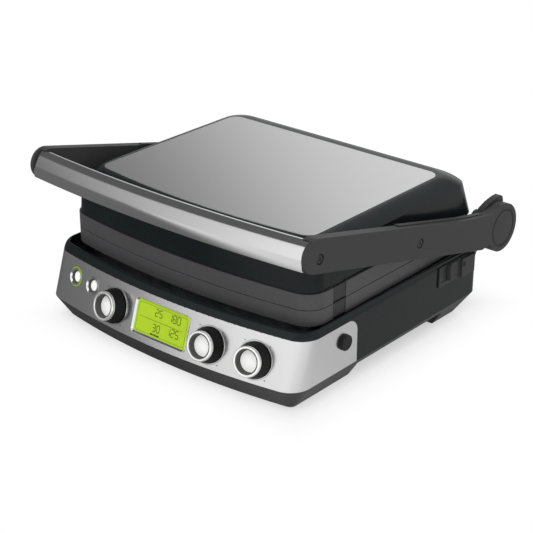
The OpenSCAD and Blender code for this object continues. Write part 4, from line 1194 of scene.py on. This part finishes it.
class GRILL_OT_plates(bpy.types.Operator):
    """Both cooking plates with rounded rims and ridges, and the grips in their sides"""

    bl_idname = "grill.plates"
    bl_label = "Plates"

    def execute(self, context):
        for level in ("lower", "upper"):
            recast(f"{level}_plate_casting", f"{level}_plate", "coated_plate", 0.7 * MM)
            recast(f"{level}_grips", f"{level}_plate_tabs", "matt_grey", 0.8 * MM)
        return {"FINISHED"}


# Lid

# How far the steel panel stands out of the top of the lid
PANEL_PROUD = 0.4 * MM


class GRILL_OT_lid_shell(bpy.types.Operator):
    """Glossy lid with drafted sides, a crease and a rounded shoulder"""

    bl_idname = "grill.lid_shell"
    bl_label = "Lid shell"

    def execute(self, context):
        lid = context.scene.grill_lid
        rise, inner = lid.top - lid.crease, lid.wall
        shell = [
            lid_outline(lid, lid.top - inner, 1, 1, inner),
            lid_outline(lid, lid.crease - 1 * MM, 1, 0.05, inner),
            lid_outline(lid, lid.low, 0, 0, inner),
            lid_outline(lid, lid.low, 0, 0, 0),
            lid_outline(lid, lid.crease, 1, 0, 0),
        ]
        for share in (i / 12 for i in range(1, 13)):
            z = lid.crease + rise * (1.75 * share - 0.75 * share ** 2)
            shell.append(lid_outline(lid, z, 1, share, 0))
        floor = lid.top - lid.panel_sheet + PANEL_PROUD
        shell += [panel_outline(lid, z, -0.1 * MM) for z in (lid.top, floor)]
        body = loft("lid_shell", shell)
        wall, out = lid.half - 12 * MM, lid.half + 3 * MM
        for side in (-1, 1):
            cut(body, rod_x("tool", side * wall, side * out, *LID_PIVOT, 7.05 * MM))
        cut(body, release_hole(-wall, -out, UPPER_RELEASE_Z))
        soften(body, 1.1 * MM, 4, 24)
        dress(body, "gloss_shell", "lid_housing")
        return {"FINISHED"}


class GRILL_OT_lid_panel(bpy.types.Operator):
    """Brushed steel panel let into the top of the lid"""

    bl_idname = "grill.lid_panel"
    bl_label = "Lid panel"

    def execute(self, context):
        lid = context.scene.grill_lid
        top = lid.top + PANEL_PROUD
        sheet = loft("lid_steel_panel", [
            panel_outline(lid, top - lid.panel_sheet + 0.1 * MM, 0),
            panel_outline(lid, top - 0.45 * MM, 0),
            panel_outline(lid, top - 0.2 * MM, 0.09 * MM),
            panel_outline(lid, top - 0.06 * MM, 0.26 * MM),
            panel_outline(lid, top, 0.55 * MM),
        ])
        dress(sleek(sheet, 40), "steel_panel", "lid_panel")
        return {"FINISHED"}


# Arms and handle

MIRROR = Matrix.Diagonal((-1, 1, 1, 1))


class GRILL_OT_arms(bpy.types.Operator):
    """Both long arms with a wide bevel along their outer edge"""

    bl_idname = "grill.arms"
    bl_label = "Arms"

    def execute(self, context):
        handle = context.scene.grill_handle
        pocket, near = 6.2 * MM, 0.6 * MM
        for side, name in ((1, "right"), (-1, "left")):
            arm = take(f"{name}_arm", f"arm_{name}")
            low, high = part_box(f"arm_{name}")
            outer = high.x if side > 0 else -low.x

            def outline_edge(a, b):
                """Whether an edge is on the outer face, and not round a screw or the hub's cap."""
                if any(abs(side * end.x - outer) > 0.02 * MM for end in (a, b)):
                    return False
                middle = (a + b) / 2
                if abs(hypot(middle.y - HINGE.y, middle.z - HINGE.z) - handle.hub_cap) < near:
                    return False
                return all(
                    hypot(middle.y - y, middle.z - z) > pocket for y, z in (BAR_SCREW, LID_PIVOT)
                )

            pick(arm, outline_edge, "EDGE")
            bpy.ops.mesh.bevel(
                offset=handle.arm_chamfer, segments=5, affect="EDGES", clamp_overlap=True
            )
            shut()
            soften(arm, handle.soft_edge, 2, 34)
            dress(arm, "matt_grey", f"arm_{name}")
        return {"FINISHED"}


class GRILL_OT_hub_caps(bpy.types.Operator):
    """Round caps on the hubs, each with a groove near its edge"""

    bl_idname = "grill.hub_caps"
    bl_label = "Hub caps"

    def execute(self, context):
        radius = context.scene.grill_handle.hub_cap
        low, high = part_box("hub_cap_right")
        depth = high.x - low.x
        crown = radius - 2.6 * MM
        cap = turned("hub_cap", [(0, 0), (radius, 0)] + [
            (radius - step * MM, depth - z * MM) for step, z in (
                (0, 1.1), (0.3, 0.75), (1.3, 0.7), (1.5, 1.3), (2.1, 1.3), (2.3, 0.45),
            )
        ] + [
            (crown * (1 - i / 8), depth - 0.3 * MM + 0.3 * MM * sin(i / 8 * pi / 2))
            for i in range(9)
        ])
        sleek(cap, 30)
        place = Matrix.Translation((low.x, HINGE.y, HINGE.z)) @ Matrix.Rotation(pi / 2, 4, "Y")
        for name, spot in (("right", place), ("left", MIRROR @ place)):
            dress(copy(cap, f"{name}_hub_cap", spot), "matt_grey", f"hub_cap_{name}")
        discard(cap)
        return {"FINISHED"}


class GRILL_OT_bar(bpy.types.Operator):
    """Bowed handle bar: a folded steel skin round a moulded core"""

    bl_idname = "grill.bar"
    bl_label = "Handle bar"

    def swept(self, handle, name, section):
        """Sweep a section, drawn about the face's centre, along the bow, and trim its ends."""
        centre_y = -handle.bar_y + sqrt(handle.bar_bow ** 2 - handle.bar_half ** 2)
        start_y = centre_y - handle.bar_bow
        piece = draw(name, [(0, start_y + y, handle.bar_z + z) for y, z in section])
        half_turn = asin((handle.bar_half + 3 * MM) / (handle.bar_bow - 40 * MM))
        bpy.ops.mesh.select_all(action="SELECT")
        bpy.ops.transform.rotate(
            value=half_turn, orient_axis="Z", center_override=(0, centre_y, 0)
        )
        # The rotation's sign depends on whether there is a window, so the section tells its side
        form = bmesh.from_edit_mesh(piece.data)
        way = 1 if sum(vert.co.x for vert in form.verts) < 0 else -1
        bpy.ops.mesh.spin(
            steps=72, angle=-2 * half_turn * way, center=(0, centre_y, 0), axis=(0, 0, 1)
        )
        for side in (-1, 1):
            bpy.ops.mesh.select_all(action="SELECT")
            bpy.ops.mesh.bisect(
                plane_co=(side * handle.bar_half, 0, 0), plane_no=(side, 0, 0),
                use_fill=True, clear_outer=True,
            )
        return outward(piece)

    def face(self, radius, low, high, steps):
        """Points up the round face of the section, between two angles."""
        angles = (low + (high - low) * i / steps for i in range(steps + 1))
        return [(-radius * cos(angle), radius * sin(angle)) for angle in angles]

    def fold(self, corner, steps):
        """Points of a folded edge, as steps in mm from a corner of the section."""
        return [(corner[0] + y * MM, corner[1] + z * MM) for y, z in steps]

    def execute(self, context):
        handle = context.scene.grill_handle
        radius, lip = handle.bar_face, handle.lip / MM
        low, crease, high = radians(-13), radians(44), radians(58.4)
        outer = self.face(radius, low, crease, 26)
        (y0, z0), (y1, z1) = outer[-1], (-radius * cos(high), radius * sin(high))
        outer += [(y0 + (y1 - y0) * t, z0 + (z1 - z0) * t) for t in (0.05, 0.94, 1)]
        inner = self.face(radius - handle.skin, low, high, 28)
        fold_top = self.fold(outer[-1], (
            (0.5, 0.18), (1.0, 0.2), (lip, 0.05), (lip, -0.75), (1.2, -0.7),
        ))
        fold_bottom = self.fold(outer[0], (
            (1.4, 0.55), (lip, 0.55), (lip, -0.25), (0.6, -0.25), (0.2, -0.15),
        ))
        section = outer + fold_top + inner[-2:0:-1] + fold_bottom
        steel = self.swept(handle, "handle_skin", section)
        dress(soften(steel, 0.22 * MM, 2, 38), "steel_bar", "handle_bar")
        recast("handle_core_moulding", "handle_core", "matt_grey", 0.6 * MM, 2, 30)
        return {"FINISHED"}


class GRILL_OT_arm_screws(bpy.types.Operator):
    """Four cross-head screws in the arms"""

    bl_idname = "grill.arm_screws"
    bl_label = "Arm screws"

    def execute(self, context):
        radius = context.scene.grill_handle.screw
        head, dome, shank, foot = 2.1 * MM, 1.2 * MM, 2.4 * MM, -24 * MM
        screw = turned("screw", (
            [(0, foot), (shank, foot), (shank, 0), (radius, 0)]
            + arc((radius - dome, head - dome), dome, 0, pi / 2, 6)
            + [(2 * MM, head), (0, head)]
        ), 48)
        for turn in (0, pi / 2):
            slot = block(
                "tool", (-0.45 * MM, -2.7 * MM, head - 1.3 * MM),
                (0.45 * MM, 2.7 * MM, head + 1 * MM),
            )
            cut(screw, settle(slot, Matrix.Rotation(turn, 4, "Z")))
        soften(screw, 0.12 * MM, 2, 40)
        face_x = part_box("arm_screws")[1].x - head
        screws = []
        for place, turn in ((BAR_SCREW, 0.35), (LID_PIVOT, 1.0)):
            spot = (
                Matrix.Translation((face_x, *place))
                @ Matrix.Rotation(pi / 2, 4, "Y") @ Matrix.Rotation(turn, 4, "Z")
            )
            screws += [copy(screw, "arm_screw_set", way) for way in (spot, MIRROR @ spot)]
        discard(screw)
        dress(join(*screws), "dark_fixing", "arm_screws")
        return {"FINISHED"}


# Smaller pieces

SMALL_PIECES = (
    # piece, node, edge in mm
    ("thumb_lever", "release_lever", 0.9),
    ("slot_guide", "height_guide", 0.45),
    ("slider_block", "height_slider", 0.5),
    ("right_bracket", "hinge_bracket_right", 0.9),
    ("left_bracket", "hinge_bracket_left", 0.9),
    ("grease_tray", "drip_tray", 0.8),
    ("lower_release_cap", "lower_release_button", 0.9),
    ("upper_release_cap", "upper_release_button", 0.9),
    ("gland", "cord_gland", 0.6),
    ("feet", "rubber_feet", 0.3),
    ("bracket_screw_set", "bracket_screws", 0.4),
    ("bushes", "pivot_bushes", 0.3),
)


class GRILL_OT_small_pieces(bpy.types.Operator):
    """Lever, slider, brackets, tray, release buttons and other small mouldings"""

    bl_idname = "grill.small_pieces"
    bl_label = "Small pieces"

    def execute(self, context):
        for name, node, edge in SMALL_PIECES:
            recast(name, node, SLOT_OF[node], edge * MM)
        return {"FINISHED"}


# Stage

CAMERA_TURN, CAMERA_RISE = radians(40.707), radians(24.999)
CAMERA_TARGET = Vector((0.0114, -0.0197, 0.0616))
CAMERA_DISTANCE, CAMERA_LENS = 1.5804, 98.455
LAMPS = (
    # name, place, height aimed at, size, power
    ("key", (0.9, -1.3, 2.1), 0.08, (1.4, 1.4), 20),
    ("fill", (-1.9, -0.7, 1.5), 0.08, (1.6, 1.2), 12),
    ("rear", (-0.3, 2.0, 1.7), 0.1, (2.0, 0.9), 12),
)


def aim(thing, place, way):
    """Put a lamp or camera at a place and turn it along a way."""
    bpy.context.scene.collection.objects.link(thing)
    thing.location = place
    thing.rotation_euler = way.to_track_quat("-Z", "Y").to_euler()


class GRILL_OT_stage(bpy.types.Operator):
    """White floor, soft studio lamps and the camera"""

    bl_idname = "grill.stage"
    bl_label = "Stage"

    def light_path(self, graph):
        """Whether a ray is mirrored, and whether it is seen directly or through glass."""
        camera, mirrored, through = (
            graph.node("ShaderNodeLightPath", output=f"Is {kind} Ray")
            for kind in ("Camera", "Glossy", "Transmission")
        )
        return mirrored, camera + through

    def axes(self, graph, place, letters):
        """Parts of a place along some axes."""
        return [graph.node("ShaderNodeSeparateXYZ", {}, {0: place}, letter) for letter in letters]

    def floor_finish(self, tone):
        """White to the camera, with a soft shadow under the grill and soft boxes in reflections."""
        finish = Finish("floor_finish", roughness=1.0, specular_ior_level=0.0)
        finish.feed("Base Color", tone)
        mirrored, seen = self.light_path(finish)
        across, along = self.axes(finish, finish.place, "XY")
        studio = finish.ramp(across - finish.math("MINIMUM", along, -0.25), 0.22, 0.50) * 0.85 + 0.2
        studio = studio * (1 - finish.ramp(along, -0.3, 0.0) * 0.32)
        # The shadow fades out a hand's width away from the grill
        apart = finish.math(
            "MAXIMUM", finish.math("ABSOLUTE", across) - 0.17, finish.math("ABSOLUTE", along) - 0.165
        )
        plain = finish.ramp(apart, -0.03, 0.05) * 0.5 + 0.5
        glow = finish.node("ShaderNodeEmission", {}, {
            "Color": (1, 1, 1), "Strength": mirrored * studio + (1 - mirrored)
        })
        finish.plug(finish.output.inputs[0], finish.node("ShaderNodeMixShader", {}, {
            0: finish.clamp(seen * plain + mirrored, 0, 1),
            1: Wire(finish, finish.shader.outputs[0]), 2: glow,
        }))
        return finish.material

    def studio(self):
        """A world that is white to the camera and a ring of soft boxes in reflections."""
        world = bpy.data.worlds.new("studio")
        world.use_nodes = True
        sky = Graph(world.node_tree)
        x, y, z = self.axes(sky, sky.node("ShaderNodeTexCoord", output="Generated"), "XYZ")
        mirrored, seen = self.light_path(sky)
        # A long soft box stands at the front right and another one at the rear
        front = sky.clamp((x + 0.837) * 2.4 + 0.27, 0.2, 1.35)
        front = front * (1 - sky.ramp(x, 0.0, 0.3) * sky.ramp(z, 0.24, 0.36) * 0.4)
        rear = sky.ramp(x * 6.475 - z * 5.169 + 6.41, 0, 1) * 0.87 + 0.166
        behind = sky.ramp(y, -0.15, 0.15)
        ring = front * (1 - behind) + rear * behind
        lean = z - sky.math("MINIMUM", x, -0.2) * 0.65
        studio = ring - (ring - 0.14) * sky.ramp(lean, 1.02, 1.07)
        strength = mirrored * studio + seen + (1 - sky.clamp(mirrored + seen, 0, 1)) * 0.62
        light = sky.node("ShaderNodeBackground", {}, {"Color": (1, 1, 1), "Strength": strength})
        sky.node("ShaderNodeOutputWorld", {}, {0: light}, None)
        return world

    def execute(self, context):
        clear()
        bpy.ops.mesh.primitive_grid_add(x_subdivisions=4, y_subdivisions=4, size=12)
        floor = rename(bpy.context.object, "floor")
        floor.data.materials.append(self.floor_finish(context.scene.grill_colours.floor))
        context.scene.world = self.studio()

        for name, place, height, size, power in LAMPS:
            data = bpy.data.lights.new(name, "AREA")
            data.shape = "RECTANGLE"
            data.size, data.size_y = size
            data.energy = power
            lamp = bpy.data.objects.new(name, data)
            lamp.visible_glossy = False
            aim(lamp, place, Vector((0, 0, height)) - Vector(place))

        camera = bpy.data.objects.new("camera", bpy.data.cameras.new("camera"))
        camera.data.lens = CAMERA_LENS
        camera.data.sensor_width = 36
        away = Vector((
            sin(CAMERA_TURN) * cos(CAMERA_RISE), -cos(CAMERA_TURN) * cos(CAMERA_RISE),
            sin(CAMERA_RISE),
        ))
        aim(camera, CAMERA_TARGET + away * CAMERA_DISTANCE, -away)
        context.scene.camera = camera
        context.scene.view_settings.view_transform = "Standard"
        return {"FINISHED"}


# Add-on

OPERATORS = (
    GRILL_OT_finishes,
    GRILL_OT_base_shell,
    GRILL_OT_control_panel,
    GRILL_OT_bottom_pan,
    GRILL_OT_display,
    GRILL_OT_knobs,
    GRILL_OT_buttons,
    GRILL_OT_plates,
    GRILL_OT_lid_shell,
    GRILL_OT_lid_panel,
    GRILL_OT_arms,
    GRILL_OT_hub_caps,
    GRILL_OT_bar,
    GRILL_OT_arm_screws,
    GRILL_OT_small_pieces,
    GRILL_OT_stage,
)
GROUPS = {
    "grill_base": GrillBaseSizes,
    "grill_controls": GrillControlSizes,
    "grill_lid": GrillLidSizes,
    "grill_handle": GrillHandleSizes,
    "grill_colours": GrillColours,
}


class GRILL_PT_panel(bpy.types.Panel):
    """Sidebar panel with the pieces, sizes and colours"""

    bl_idname = "GRILL_PT_panel"
    bl_label = "Contact grill"
    bl_space_type = "VIEW_3D"
    bl_region_type = "UI"
    bl_category = "Grill"

    def draw(self, context):
        column = self.layout.column()
        for operator in OPERATORS:
            column.operator(operator.bl_idname)
        for holder, group in GROUPS.items():
            box = self.layout.box()
            box.label(text=group.__doc__)
            for size in group.__annotations__:
                box.prop(getattr(context.scene, holder), size)


def register():
    for group in GROUPS.values():
        bpy.utils.register_class(group)
    for holder, group in GROUPS.items():
        setattr(bpy.types.Scene, holder, PointerProperty(type=group))
    for operator in OPERATORS:
        bpy.utils.register_class(operator)
    bpy.utils.register_class(GRILL_PT_panel)


def unregister():
    bpy.utils.unregister_class(GRILL_PT_panel)
    for operator in reversed(OPERATORS):
        bpy.utils.unregister_class(operator)
    for holder in GROUPS:
        delattr(bpy.types.Scene, holder)
    for group in GROUPS.values():
        bpy.utils.unregister_class(group)


def main():
    register()
    for operator in OPERATORS:
        getattr(bpy.ops.grill, operator.bl_idname.split(".")[1])()
    clear()


if __name__ == "__main__":
    main()
